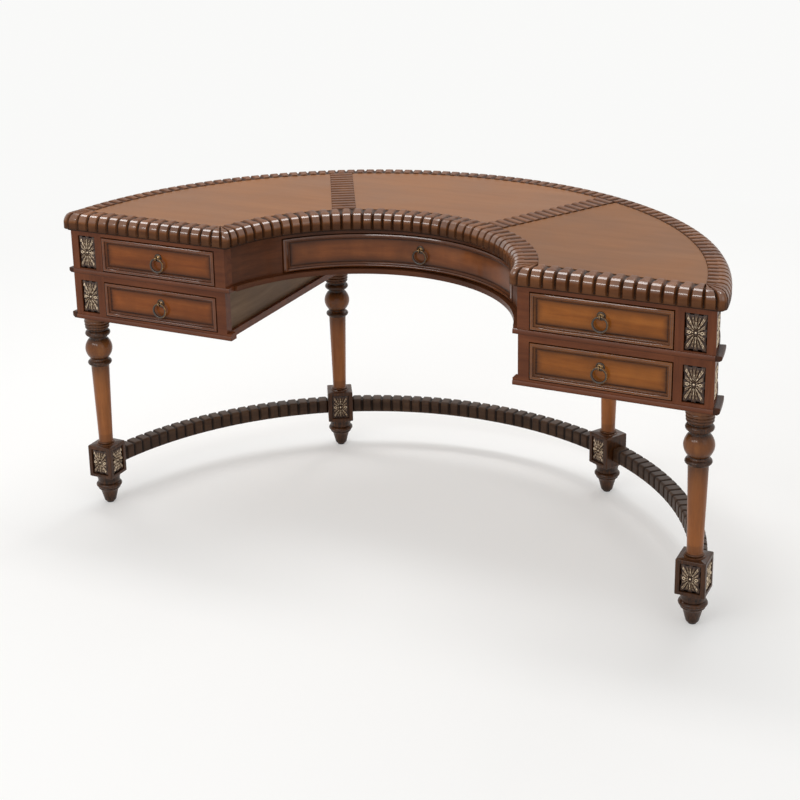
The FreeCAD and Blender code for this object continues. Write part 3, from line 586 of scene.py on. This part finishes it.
def bandShell(side):
    # a flat bar along a line from the centre, its top pressed in between the cross ribs
    steps = ribSteps(band["ribs"], band["fine"])
    along = band["inner"] + (band["outer"] - band["inner"]) * steps / band["ribs"]
    half, edge, low = band["width"] / 2, band["edge"], -band["thickness"]
    profile = np.array([(-half, low), (-half, -edge), (-half + edge, 0), (-half * 0.5, 0), (0, 0), (half * 0.5, 0),
                        (half - edge, 0), (half, -edge), (half, low)])
    depth = np.where(profile[:, 1] > low, band["depth"], 0.0)
    fall = ribForm(steps, band["groove"])
    height = plan["topZ"] + profile[None, :, 1] - fall * depth
    out, across = radial(math.pi / 2 - side * band["turn"])
    points = (centre + along[:, None, None] * out + profile[None, :, :1] * across
              + height[..., None] * np.array([0, 0, 1.0]))
    glazeWearAndShade = grooveMarks(fall, depth)
    # the band's rounded side edges, where it meets the field, are painted dark as shade
    edges = profile[:, 1] == -edge
    glazeWearAndShade[:, edges] = np.maximum(glazeWearAndShade[:, edges], band["edgeShade"])
    return tube(points, glazeWearAndShade)


for name, side in sides.items():
    addPiece(f"band_{name}_ribbed", bandShell(side), "case", finish["ribs"], (f"band_{name}",))
print("desk: rims and bands made")

# Stretchers: ribbed bars that follow the curve

stretcher = {
    "inner": 0.7465,
    "outer": 0.7835,
    "low": 0.096,
    "high": 0.132,
    "round": 0.006,
    "bevel": 0.003,
    "pitch": 0.027,
    "fine": 18,
    "groove": 0.34,
    "depth": 0.0042,
    # angles about the centre in degrees
    "spans": {"stretcher_right": (10.2, 57.5), "stretcher_left": (122.5, 169.8), "stretcher_back": (62.5, 117.5)},
}


def stretcherProfile():
    # radius and height of a bar with a round top, counted clockwise from its lower inner corner
    low, high, inner, outer = (stretcher[key] for key in ("low", "high", "inner", "outer"))
    bend, bevel = stretcher["round"], stretcher["bevel"]
    turn = np.radians(np.linspace(180, 90, 7))
    left = np.stack([inner + bend + bend * np.cos(turn), high - bend + bend * np.sin(turn)], -1)
    right = left[::-1] * (-1, 1) + (inner + outer, 0)
    rise = np.linspace(low + bevel, high - bend, 5)[:-1]
    up = np.stack([np.full(4, inner), rise], -1)
    down = np.stack([np.full(4, outer), rise[::-1]], -1)
    foot = np.array([(outer - bevel, low), (inner + bevel, low)])
    return np.vstack([up, left, right, down, foot])


def stretcherShell(start, end):
    # the bar's profile carried along the curve from one angle to the other, pressed in between ribs
    profile = stretcherProfile()
    depth = np.where(profile[:, 1] > stretcher["low"], stretcher["depth"], 0.0)
    middle = (stretcher["inner"] + stretcher["outer"]) / 2
    count = round(math.radians(end - start) * middle / stretcher["pitch"])
    steps = ribSteps(count, stretcher["fine"])
    angle = np.radians(start + (end - start) * steps / count)[:, None]
    fall = ribForm(steps, stretcher["groove"])
    shaped = profile[None] - profileNormals(profile)[None] * (fall * depth)[..., None]
    points = np.concatenate([polar(shaped[..., 0], angle), shaped[..., 1:]], -1)
    # dark glaze and painted shade in the grooves
    return tube(points, np.clip(fall * 1.2 - 0.1, 0, 1) * (depth > 0))


for label, (start, end) in stretcher["spans"].items():
    addPiece(label + "_ribbed", stretcherShell(start, end), "case", finish["dark"], (label,))
print("desk: stretchers made")

# Mouldings round the outside of the case, which break outwards round the front posts

moulding = {
    "reach": 0.012,
    "postReach": 0.0135,
    "postReturn": 0.012,
    "gap": math.radians(2.42),  # from the middle of a back post to its side
    "mid": (plan["deckZ"], plan["upperFloor"]),
    "bottom": (plan["caseZ"], plan["lowerFloor"]),
    "segments": 64,
    # share of the reach, share of the height, and painted shade, from the top to the underside: darkest under the
    # nose and where the top meets the panel
    "ledge": ((-0.08, 1.0, 0.7), (0.88, 1.0, 0.35), (0.97, 0.95, 0.25), (1.0, 0.84, 0.3), (1.0, 0.42, 0.4),
              (0.95, 0.26, 0.5), (0.84, 0.16, 0.6), (0.70, 0.10, 0.8), (0.62, 0.0, 0.8), (-0.08, 0.0, 0.8)),
}


def ledgeShell(radius, reach, heights, start, end):
    # a blunt ledge with a hollow under its nose, carried along a curve between two angles
    low, high = heights
    share, rise, shade = np.array(moulding["ledge"]).T
    angle = np.linspace(start, end, moulding["segments"])[:, None]
    plane = polar(radius + share * reach, angle)
    z = np.broadcast_to(low + rise * (high - low), plane.shape[:2])
    return tube(np.concatenate([plane, z[..., None]], -1), shade[None])


def behindCentre(y, radius):
    # the angle at which a circle about the centre reaches this y
    return math.asin((y - plan["arcY"]) / radius)


postStart = behindCentre(plan["caseFront"], plan["caseRadius"] + moulding["postReach"] / 2)
postEnd = behindCentre(plan["postBack"] + moulding["postReturn"], plan["caseRadius"] + moulding["postReach"] / 2)
runStart = behindCentre(plan["postBack"], plan["panelRadius"] + moulding["reach"] / 2)
leftPost = math.pi / 2 + plan["backLegTurn"] + moulding["gap"]
rightPost = math.pi - leftPost


def sideLedges(name, heights):
    # the run along a side panel and the collar round its front post
    run = (runStart, rightPost) if name == "right" else (leftPost, math.pi - runStart)
    collar = (postStart, postEnd) if name == "right" else (math.pi - postEnd, math.pi - postStart)
    return (ledgeShell(plan["panelRadius"], moulding["reach"], heights, *run),
            ledgeShell(plan["caseRadius"], moulding["postReach"], heights, *collar))


backEnds = (rightPost + 2 * moulding["gap"], leftPost - 2 * moulding["gap"])
shell = joined(*sideLedges("left", moulding["mid"]), *sideLedges("right", moulding["mid"]),
               ledgeShell(plan["panelRadius"], moulding["reach"], moulding["mid"], *backEnds))
addPiece("mid_moulding_nosed", shell, "case", finish["curved"], ("mid_moulding",))
for name in sides:
    addPiece(f"bottom_moulding_{name}_nosed", joined(*sideLedges(name, moulding["bottom"])), "case",
             finish["curved"], (f"bottom_moulding_{name}",))

strip = {
    "inner": 0.3500,
    "outer": 0.7870,
    "proud": 0.0022,
    "heights": {"mid": (0.6135, 0.6250), "bottom": (0.4972, 0.5085)},
    "segments": 24,
    # depth as a share of how proud it stands, share of the height, and mark: the upper edge is polished, and the back
    # and the lower edge, where the bead meets the case, are painted shade
    "bead": ((0.3, 0.0, 0.8), (-0.55, 0.0, 0.8), (-0.9, 0.07, 0.4), (-1.0, 0.2, 0.15), (-1.0, 0.8, -0.6),
             (-0.69, 0.926, -1.0), (-0.20, 0.972, -1.0), (0.3, 1.0, 0.7)),
}


def stripShell(side, heights):
    # a flat bead with rounded edges carried straight along the front of a pedestal
    low, high = heights
    depth, rise, mark = np.array(strip["bead"]).T
    x = side * np.linspace(strip["inner"], strip["outer"], strip["segments"])[:, None]
    y = plan["caseFront"] + depth * strip["proud"]
    z = low + rise * (high - low)
    return tube(np.stack(np.broadcast_arrays(x, y, z), -1), mark[None])


for name, side in sides.items():
    shell = joined(*[stripShell(side, heights) for heights in strip["heights"].values()])
    addPiece(f"front_strips_{name}", shell, "case", finish["case"])
print("desk: mouldings made")

# Drawer fronts: a moulded frame round a sunk panel

drawerFront = {
    "width": 0.31034,
    "height": 0.082,
    "centreWidth": 0.580,
    "flatSegments": 8,
    "bentSegments": 56,
    "panelSink": 0.005,
    # inset from the edge and depth behind the case front in millimetres, and mark, from the back to the panel: the
    # gap round the front and the hollow before the panel are painted dark as shadow, the frame keeps a darker tone
    # with polished facets that catch the lamps, and the panel darkens towards the frame with painted shade
    "rings": ((0.6, 18.0, 0.9), (0.0, 17.4, 0.9), (0.0, 0.6, 0.95), (0.2, -0.8, 0.8), (0.7, -1.7, 0.1),
              (0.9, -1.8, -1.0), (3.0, -2.75, -1.0), (3.4, -2.9, 0.4), (4.6, -2.9, 0.5), (4.9, -2.8, -1.0),
              (6.7, -1.95, -1.0), (6.9, -1.7, 0.3), (7.1, -0.6, 0.8), (7.3, 0.6, 0.95), (8.0, 1.2, 0.75),
              (9.4, 1.6, 0.6), (11.0, 2.6, 0.65), (12.2, 4.0, 0.85), (12.9, 5.0, 1.0), (14.2, 5.1, 0.9),
              (16.5, 5.05, 0.55), (21.0, 5.0, 0.3), (27.0, 5.0, 0.1), (34.0, 5.0, 0.0)),
}


def framedShell(width, segments, place):
    # rectangles that shrink by the inset and sink by the depth, one inside the next, closed in front
    # and behind by strips from the lower to the upper edge; place bends the flat front to its own surface
    rings = np.array(drawerFront["rings"])
    inset, depth, marks = rings[:, 0] / 1000, rings[:, 1] / 1000, rings[:, 2]
    share = np.linspace(-1, 1, segments + 1)
    x = np.concatenate([share, share[::-1]])[None] * (width / 2 - inset)[:, None]
    lower = np.concatenate([-np.ones(segments + 1), np.ones(segments + 1)])
    z = lower[None] * (drawerFront["height"] / 2 - inset)[:, None]
    points = place(x, np.broadcast_to(depth[:, None], x.shape), z).reshape(-1, 3)
    loop = 2 * (segments + 1)
    quads = gridFaces(len(rings), loop, False, True)
    step = np.arange(segments)
    closing = np.stack([step, step + 1, loop - 2 - step, loop - 1 - step], -1)
    quads = np.vstack([quads, closing[:, ::-1], closing + (len(rings) - 1) * loop])
    return facingOut(points, quads, np.repeat(marks, loop))


pull = {
    "rise": 0.008,  # of the plate's middle over the drawer's
    "ringRadius": 0.0165,
    "wire": 0.0024,
    "wireSwell": 0.12,  # share by which the ring is thicker at its foot
    "eyeRadius": 0.0040,
    "eyeWire": 0.0014,
    "hinge": np.array([0, -0.0085, 0]),  # the ring's axis, from the seat of the plate
    "plateRadius": 0.010,
    # radius and stand-off of the plate, outwards from the drawer front, in millimetres
    "plate": ((10.0, 0.0), (10.0, 0.9), (9.5, 1.6), (8.6, 2.0), (7.8, 1.9), (7.2, 1.6), (6.5, 2.0), (5.6, 3.0),
              (4.2, 3.9), (2.9, 4.6), (2.2, 5.2), (1.6, 5.9)),
}


def turnedShell(profile, marks, around=40):
    # a line of radius and height spun about its own axis, closed at both ends
    turn = np.linspace(0, 2 * np.pi, around, endpoint=False)
    points = np.stack([profile[:, :1] * np.cos(turn), profile[:, :1] * np.sin(turn),
                       np.broadcast_to(profile[:, 1:], (len(profile), around))], -1)
    return tube(points, marks[:, None])


def hoopShell(radius, wire, around=64, loop=20):
    # a circle of wire carried round a larger circle in the x-z plane, a little thicker at its foot
    big = np.linspace(0, 2 * np.pi, around, endpoint=False)[:, None]
    small = np.linspace(0, 2 * np.pi, loop, endpoint=False)[None]
    thick = wire * (1 + pull["wireSwell"] * (1 - np.cos(big - np.pi / 2)) / 2)
    reach = radius + thick * np.cos(small)
    points = np.stack([reach * np.cos(big), thick * np.sin(small), reach * np.sin(big)], -1)
    marks = 0.45 + 0.4 * np.cos(small) * np.ones_like(big)
    return tube(points, marks, True)


def pullShell(seat):
    # a stepped plate with a wire eye, its back on the seat and its axis towards the user
    rings = np.array(pull["plate"]) / 1000
    points, quads, marks = turnedShell(rings, np.linspace(0.35, 0.9, len(rings)))
    plate = (points[:, [0, 2, 1]] * (1, -1, 1) + seat, quads, marks)
    points, quads, marks = hoopShell(pull["eyeRadius"], pull["eyeWire"], 28, 12)
    eye = (points[:, [1, 0, 2]] * (1, -1, 1) + seat + pull["hinge"], quads[:, ::-1], marks)
    return joined(plate, eye)


def addPull(key, seat):
    # the plate on the drawer, and the ring that hangs from its eye
    label = f"drawer_{key}"
    addPiece(label + "_pull_cast", pullShell(seat), label, finish["brass"], (label + "_pull",))
    points, quads, marks = hoopShell(pull["ringRadius"], pull["wire"])
    hung = (points + seat + pull["hinge"] - (0, 0, pull["ringRadius"]), quads, marks)
    addPiece(label + "_ring_cast", hung, f"ring_{key}", finish["brass"], (label + "_ring",))


def flatFront(middle):
    # a front that stands straight, about the middle of its drawer
    def place(x, depth, z):
        return np.stack([x, depth, z], -1) + middle
    return place


def bentFront(x, depth, z):
    # x is kept, and the depth is measured along the radius of the apron
    angle = np.arccos(np.clip(x / plan["apronRadius"], -1, 1))
    return np.concatenate([polar(plan["apronRadius"] + depth, angle), (z + upperMiddle)[..., None]], -1)


for name, side in sides.items():
    for level, z in (("lower", lowerMiddle), ("upper", upperMiddle)):
        label = f"drawer_{level}_{name}"
        middle = np.array([side * plan["drawerX"], plan["caseFront"], z])
        shell = framedShell(drawerFront["width"], drawerFront["flatSegments"], flatFront(middle))
        addPiece(label + "_front_moulded", shell, label, finish["drawer" + name.title()],
                 (label + "_front",))
        addPull(f"{level}_{name}", middle + (0, drawerFront["panelSink"], pull["rise"]))

shell = framedShell(drawerFront["centreWidth"], drawerFront["bentSegments"], bentFront)
addPiece("drawer_centre_front_moulded", shell, "drawer_centre", finish["drawerCurved"],
         ("drawer_centre_front",))
# the flat plate meets the curved panel at its two sides
seatY = plan["arcY"] + math.sqrt((plan["apronRadius"] + drawerFront["panelSink"]) ** 2 - pull["plateRadius"] ** 2)
addPull("centre", np.array([0, seatY, upperMiddle + pull["rise"]]))
print("desk: drawer fronts and pulls made")

# Carved rosettes

rosette = {
    "post": (0.0476, 0.0816),
    "block": (0.0450, 0.0650),
    "cell": 0.0006,
    "relief": 0.0046,
    "back": 0.0008,  # how far its skirt goes into the ground
    "leaves": 16,
    "border": 0.0016,
    "bead": 0.0030,
    "hollow": (0.0036, 0.0052),  # where the leaves rise round the bead
    "eyelet": (0.0135, 0.0027),  # distance from the centre, and radius
    "fade": 0.0008,  # width over which the edge falls to the ground
}


def rosetteHeight(a, b, width, height):
    # slender leaves run from the centre to the border, every second one shorter; each is a wave over the
    # angle with a groove down its middle and a frill along it, and a bead and two eyelets stand on them
    halfWide, halfTall = width / 2 - rosette["border"], height / 2 - rosette["border"]
    radius = np.hypot(a, b)
    angle = np.arctan2(b / halfTall, a / halfWide)
    reach = np.maximum(np.abs(a) / halfWide, np.abs(b) / halfTall)
    longLeaf = np.cos(angle * rosette["leaves"] / 2) > 0
    tip = np.where(longLeaf, 1.0, 0.93)
    ridge = np.clip(0.5 + 0.5 * np.cos(angle * rosette["leaves"]), 0, 1)
    body = ridge ** 0.8 * np.clip(1 - (reach / tip) ** 6, 0, 1) ** 0.6
    groove = 1 - 0.55 * np.exp(-((1 - ridge) / 0.05) ** 2) * np.clip((reach - 0.25) / 0.2, 0, 1)
    frill = 1 + 0.22 * np.cos(reach * 26 - (1 - ridge) * 5)
    curl = 0.42 + 0.58 * np.sin(np.clip(reach * 1.05, 0, 1) * np.pi * 0.8)
    tall = body * groove * frill * curl * np.where(longLeaf, 1.0, 0.86)
    start, end = rosette["hollow"]
    tall = tall * np.clip((radius - start) / (end - start), 0.12, 1)
    bead = np.sqrt(np.clip(1 - (radius / rosette["bead"]) ** 2, 0, 1)) * 1.05
    away, loop = rosette["eyelet"]
    fromEye = np.hypot(np.abs(a) - away, b)
    eyelet = np.sqrt(np.clip(1 - ((fromEye - loop) / (loop * 0.5)) ** 2, 0, 1))
    tall = np.where(fromEye < loop * 1.45, eyelet, tall)
    edge = np.clip(np.minimum(width / 2 - np.abs(a), height / 2 - np.abs(b)) / rosette["fade"], 0, 1)
    return np.maximum(tall, bead) * edge


def rosetteShell(size, place):
    # the height over a rectangle of cells, with a skirt that closes it at the back; place sets it on its ground
    width, height = size
    columns = round(width / rosette["cell"]) + 1
    rows = round(height / rosette["cell"]) + 1
    a, b = np.meshgrid(np.linspace(-width / 2, width / 2, columns), np.linspace(-height / 2, height / 2, rows))
    tall = rosetteHeight(a, b, width, height)
    front = place(a, b, tall * rosette["relief"]).reshape(-1, 3)
    order = np.arange(rows * columns).reshape(rows, columns)
    rimOrder = np.concatenate([order[0, :-1], order[:-1, -1], order[-1, :0:-1], order[:0:-1, 0]])
    back = place(a, b, np.full_like(a, -rosette["back"])).reshape(-1, 3)[rimOrder]
    count = len(rimOrder)
    here = np.arange(count)
    after = (here + 1) % count
    first = rows * columns
    points = np.vstack([front, back, back.mean(0)])
    skirt = np.stack([rimOrder[after], rimOrder[here], first + here, first + after], -1)
    cap = np.stack([np.full(count, first + count), first + after, first + here, first + here], -1)
    quads = np.vstack([gridFaces(rows, columns), skirt, cap])
    return facingOut(points, quads, np.concatenate([tall.reshape(-1), np.zeros(count + 1)]))


def flatGround(origin, across, out):
    # a flat ground: a runs across, b up, and the height stands out from it
    origin, across, out = (np.array(v, float) for v in (origin, across, out))
    up = np.array([0, 0, 1.0])

    def place(a, b, tall):
        return origin + a[..., None] * across + b[..., None] * up + tall[..., None] * out
    return place


def curvedGround(side, radius, middleY, z):
    # a ground bent about the centre: a runs along the arc, b up, and the height along the radius
    start = behindCentre(middleY, radius)

    def place(a, b, tall):
        return np.concatenate([polar(radius + tall, start + a / radius) * (side, 1), (z + b)[..., None]], -1)
    return place


post = {"frontX": 0.74434, "panelDepth": 0.004, "backGround": 0.789}
for name, side in sides.items():
    frontTiles, backTiles = [], []
    out, across = radial(math.pi / 2 - side * plan["backLegTurn"])
    for z in (lowerMiddle, upperMiddle):
        middle = (side * post["frontX"], plan["caseFront"] + post["panelDepth"], z)
        bent = curvedGround(side, plan["caseRadius"] - post["panelDepth"], postY, z)
        frontTiles += [rosetteShell(rosette["post"], flatGround(middle, (1, 0, 0), (0, -1, 0))),
                       rosetteShell(rosette["post"], bent)]
        behind = flatGround(centre + out * post["backGround"] + (0, 0, z), across, out)
        backTiles.append(rosetteShell(rosette["post"], behind))
    addPiece(f"post_front_{name}_rosettes", joined(*frontTiles), "case", finish["carving"], sharp=70)
    addPiece(f"post_back_{name}_rosettes", joined(*backTiles), "case", finish["carving"], sharp=70)
print("desk: rosettes of the posts made")

# Legs: turned work with a square block low down

leg = {
    "frontX": 0.75334,
    "blockHalf": 0.033,
    "blockLow": 0.077,
    "blockHigh": 0.160,
    "edge": 0.0022,
    "panel": (0.046, 0.066),
    "panelDepth": 0.004,
    "wall": 0.0010,  # width of the panel's sloping wall
    "lip": 0.0006,
    "margin": 0.004,
    "blockMark": 0.90,
    "around": 56,
}
blockMiddle = (leg["blockLow"] + leg["blockHigh"]) / 2
outwards = {"front": (0, -1, 0), "right": (1, 0, 0), "back": (0, 1, 0), "left": (-1, 0, 0)}


def swell(low, high, foot, crown, head, count):
    # a bead: half a turn of a sine between its foot and head, in millimetres of height and radius
    share = np.linspace(0, 1, count)
    return np.stack([foot + (head - foot) * share + (crown - (foot + head) / 2) * np.sin(share * np.pi) ** 0.75,
                     low + (high - low) * share], -1)


def legProfile():
    # radius, height and darkness from the floor glide up to the case, with painted shade in the creases, where the
    # slope of the radius rises, and on the ball towards its top and bottom
    taper = np.linspace(0, 1, 16)
    across = np.linspace(-1, 1, 27)
    parts = [
        ([(10.0, 4.4), (13.2, 5.0), (14.6, 7.0), (15.4, 10.0), (19.0, 24.0), (21.8, 34.0), (23.6, 37.0),
          (24.4, 38.0)], 0.90),
        (swell(38.2, 43.0, 24.4, 27.4, 26.4, 7), 0.92),
        (swell(43.4, 57.0, 26.4, 32.0, 26.0, 13), 0.90),
        ([(26.6, 57.4), (27.2, 60.0), (27.4, 66.0), (28.4, 71.0), (30.2, 75.0), (31.0, 78.0)], 0.90),
        ([(17.6, 80.0), (17.6, 158.0)], 0.8),  # inside the block
        ([(24.0, 159.4), (23.6, 161.4), (21.0, 163.0)], 0.75),
        (swell(163.2, 168.0, 18.8, 20.8, 18.2, 7), 0.75),
        ([(17.5, 168.6), (17.3, 172.0), (17.6, 186.0)], 0.22),
        (np.stack([17.7 + 4.3 * taper, 190 + 176 * taper], -1), 0.6 * taper ** 5),
        ([(22.4, 369.0), (22.8, 371.0)], 0.55),
        (swell(371.4, 384.6, 23.6, 29.2, 24.2, 13), 0.94),
        ([(23.6, 385.2), (21.8, 387.0), (21.2, 389.4)], 0.75),
        # painted shade darkens the ball towards its top and bottom
        (swell(389.8, 440.4, 21.6, 33.0, 21.2, 27), 0.42 + 0.5 * across ** 2),
        ([(21.0, 441.0), (20.8, 443.4), (21.6, 445.6)], 0.85),
        (swell(446.2, 462.4, 23.6, 30.6, 24.4, 13), 0.93),
        ([(24.2, 463.0), (24.0, 465.4), (25.4, 466.8)], 0.9),
        (swell(467.2, 473.6, 27.2, 29.6, 28.0, 7), 0.84),
        (swell(474.2, 480.6, 28.0, 30.4, 28.6, 7), 0.78),
        (swell(481.2, 489.0, 28.8, 31.0, 29.6, 7), 0.72),
        ([(29.8, 489.6), (30.4, 492.0), (30.6, 497.0)], 0.6),
        ([(14.8, 497.2), (14.8, 536.0)], 0.8),  # the tenon
    ]
    line = np.vstack([part for part, _ in parts]) / 1000
    dark = np.concatenate([np.broadcast_to(shade, len(part)) for part, shade in parts])
    crease = np.clip(np.gradient(np.gradient(line[:, 0])) / 0.0018, 0, 1) * 0.35
    return line, np.clip(dark + crease, 0, 1)


def acrossPanel(half):
    # places across a sunk panel, close together at its two walls
    left = np.array([-leg["margin"], -leg["lip"], 0.0, leg["wall"], leg["margin"]]) - half
    return np.concatenate([left, [0.0], -left[::-1]])


def blockShell(carved):
    # a square tube with rounded edges; inside a rectangle on each carved side it is pressed in by the panel depth
    half, edge, wall = leg["blockHalf"], leg["edge"], leg["wall"]
    wide, tall = leg["panel"][0] / 2, leg["panel"][1] / 2
    side = np.concatenate([[edge - half], acrossPanel(wide), [half - edge]])
    bend = np.linspace(0, np.pi / 2, 6)[1:-1]
    along = np.tile(np.concatenate([side, half - edge + edge * np.sin(bend)]), 4)
    outward = np.tile(np.concatenate([np.full(len(side), half), half - edge + edge * np.cos(bend)]), 4)
    face = np.repeat(np.arange(4), len(side) + len(bend))
    span = (leg["blockHigh"] - leg["blockLow"]) / 2
    foot = edge * np.array([0, 0.35, 1])
    panelRows = acrossPanel(tall)
    z = np.concatenate([foot - span, panelRows, span - foot[::-1]])
    shrink = np.concatenate([edge * np.array([1, 0.35, 0]), np.zeros(len(panelRows)), edge * np.array([0, 0.35, 1])])
    isCarved = np.isin(face, [list(outwards).index(name) for name in carved])
    fall = np.clip((tall - np.abs(z)) / wall, 0, 1)[:, None] * np.clip((wide - np.abs(along)) / wall, 0, 1) * isCarved
    reach = outward - shrink[:, None] - fall * leg["panelDepth"]
    flat = along * (1 - shrink[:, None] / half)
    turn = np.radians(face * 90.0)
    points = np.stack([flat * np.cos(turn) + reach * np.sin(turn), flat * np.sin(turn) - reach * np.cos(turn),
                       np.broadcast_to(blockMiddle + z[:, None], reach.shape)], -1)
    # the block's dark tone, darker still in the sunk panels as painted shade
    return tube(points, leg["blockMark"] + fall * (1 - leg["blockMark"]))


backX = plan["legRadius"] * math.sin(plan["backLegTurn"])
backY = plan["arcY"] + plan["legRadius"] * math.cos(plan["backLegTurn"])
legRows = {"front": (leg["frontX"], postY, 0.0, ("front", "left", "right")),
           "back": (backX, backY, plan["backLegTurn"], ("front", "back"))}
line, dark = legProfile()
for row, (x, y, turn, carved) in legRows.items():
    tiles = []
    for name in carved:
        out = np.array(outwards[name], float)
        middle = out * (leg["blockHalf"] - leg["panelDepth"]) + (0, 0, blockMiddle)
        tiles.append(rosetteShell(rosette["block"], flatGround(middle, (-out[1], out[0], 0), out)))
    for name, side in sides.items():
        label = f"leg_{row}_{name}"
        stand = (-side * turn, (side * x, y, 0))
        turned = joined(turnedShell(line, dark, leg["around"]), blockShell(carved))
        addPiece(label + "_turned", turnedAbout(turned, *stand), "case", finish["leg"], (label,))
        addPiece(label + "_rosettes", turnedAbout(joined(*tiles), *stand), "case", finish["carving"],
                 sharp=70)
print("desk: legs made")

# Studio: a pale floor, soft lamps and the camera

studio = {
    "floorSize": 60.0,
    "floorColor": (0.92, 0.915, 0.905, 1),
    "farColor": (0.95, 0.95, 0.94, 1),
    "farStart": 0.9,
    "farEnd": 3.2,
    "nearShare": 0.30,
    "worldColor": (1.0, 0.995, 0.985, 1),
    "worldStrength": 0.60,
    "seenStrength": 0.95,
    # long strips, which the rim's polished facets mirror from end to end
    "lamps": {
        "overhead": {"place": (-1.0, 0.75, 3.6), "aim": (-1.0, 0.65, 0.6), "size": (4.2, 0.7), "power": 58},
        "knee": {"place": (-0.45, 1.9, 3.6), "aim": (-0.54, 1.9, 0.6), "size": (1.7, 0.35), "power": 11},
        "front": {"place": (-1.1, -3.2, 2.5), "aim": (-1.1, -0.3, 0.6), "size": (3.4, 0.5), "power": 40},
        "side": {"place": (3.0, -1.6, 1.9), "aim": (0, -0.1, 0.5), "size": (1.6, 1.6), "power": 5},
        "back": {"place": (0.6, 3.4, 2.9), "aim": (0, 0, 0.5), "size": (2.4, 0.8), "power": 16},
    },
}


def floorFinish():
    # a pale matt floor with a faint drift of tone; eyes and reflections see a share of plain white in it,
    # which grows to all of it far from the desk
    material, tree, shader = newMaterial("floorPaint")
    coords = addNode(tree, "ShaderNodeTexCoord").outputs["Object"]
    drift = noise(tree, coords, 0.8, 2.0)
    shade = remap(tree, drift, 0.3, 0.7, 0.985, 1.0)
    tree.links.new(mixColor(tree, 1.0, studio["floorColor"], shade, "MULTIPLY"), shader.inputs["Base Color"])
    shader.inputs["Roughness"].default_value = 0.7
    shader.inputs["Specular IOR Level"].default_value = 0.15
    white = addNode(tree, "ShaderNodeEmission", {"Color": studio["farColor"], "Strength": 1.0}).outputs[0]
    away = addNode(tree, "ShaderNodeVectorMath", {0: coords}, operation="LENGTH").outputs["Value"]
    far = remap(tree, away, studio["farStart"], studio["farEnd"], studio["nearShare"], 1.0)
    share = calculate(tree, "MULTIPLY", far, seenRays(tree))
    blend = addNode(tree, "ShaderNodeMixShader", {0: share, 1: shader.outputs[0], 2: white}).outputs[0]
    tree.links.new(blend, tree.nodes["Material Output"].inputs["Surface"])
    return material


def seenRays(tree):
    # 1 for rays from the eye, from gloss and through glass
    rays = addNode(tree, "ShaderNodeLightPath").outputs
    gloss = calculate(tree, "MAXIMUM", rays["Is Glossy Ray"], rays["Is Transmission Ray"])
    return calculate(tree, "MAXIMUM", rays["Is Camera Ray"], gloss)


floorHalf = studio["floorSize"] / 2
floorMesh = bpy.data.meshes.new("floor")
floorMesh.from_pydata([(-floorHalf, -floorHalf, 0), (floorHalf, -floorHalf, 0), (floorHalf, floorHalf, 0),
                       (-floorHalf, floorHalf, 0)], [], [(0, 1, 2, 3)])
floorMesh.materials.append(floorFinish())
floor = bpy.data.objects.new("floor", floorMesh)
bpy.context.scene.collection.objects.link(floor)

world = bpy.data.worlds.new("studio")
bpy.context.scene.world = world
world.use_nodes = True
sky = world.node_tree
background = sky.nodes["Background"]
background.inputs["Color"].default_value = studio["worldColor"]
strength = remap(sky, seenRays(sky), 0.0, 1.0, studio["worldStrength"], studio["seenStrength"])
sky.links.new(strength, background.inputs["Strength"])


def aimed(place, aim):
    # stands at a place with -Z towards the aim and X level
    turn = (Vector(aim) - Vector(place)).to_track_quat("-Z", "Y")
    return Matrix.Translation(place) @ turn.to_matrix().to_4x4()


for name, lamp in studio["lamps"].items():
    data = bpy.data.lights.new(name, "AREA")
    data.shape = "RECTANGLE"
    data.size, data.size_y = lamp["size"]
    data.energy = lamp["power"]
    light = bpy.data.objects.new(name, data)
    light.matrix_world = aimed(lamp["place"], lamp["aim"])
    bpy.context.scene.collection.objects.link(light)

view = {"place": (1.5152, -3.3369, 1.7606), "yaw": -0.4473, "pitch": -0.2959, "roll": -0.0182,
        "focalPixels": 1592.1, "imagePixels": 800, "sensor": 36.0, "shiftY": -0.18, "clipEnd": 200.0}
cameraData = bpy.data.cameras.new("camera")
cameraData.sensor_width = view["sensor"]
cameraData.lens = view["focalPixels"] / view["imagePixels"] * view["sensor"]
cameraData.shift_y = view["shiftY"]
cameraData.clip_end = view["clipEnd"]
camera = bpy.data.objects.new("camera", cameraData)
# level and looking along y, then rolled about the view, tipped and turned
camera.matrix_world = (Matrix.Translation(view["place"]) @ Matrix.Rotation(-view["yaw"], 4, "Z")
                       @ Matrix.Rotation(math.pi / 2 + view["pitch"], 4, "X") @ Matrix.Rotation(view["roll"], 4, "Z"))
bpy.context.scene.collection.objects.link(camera)
bpy.context.scene.camera = camera
bpy.context.scene.view_settings.view_transform = "Standard"
print("desk: studio made")
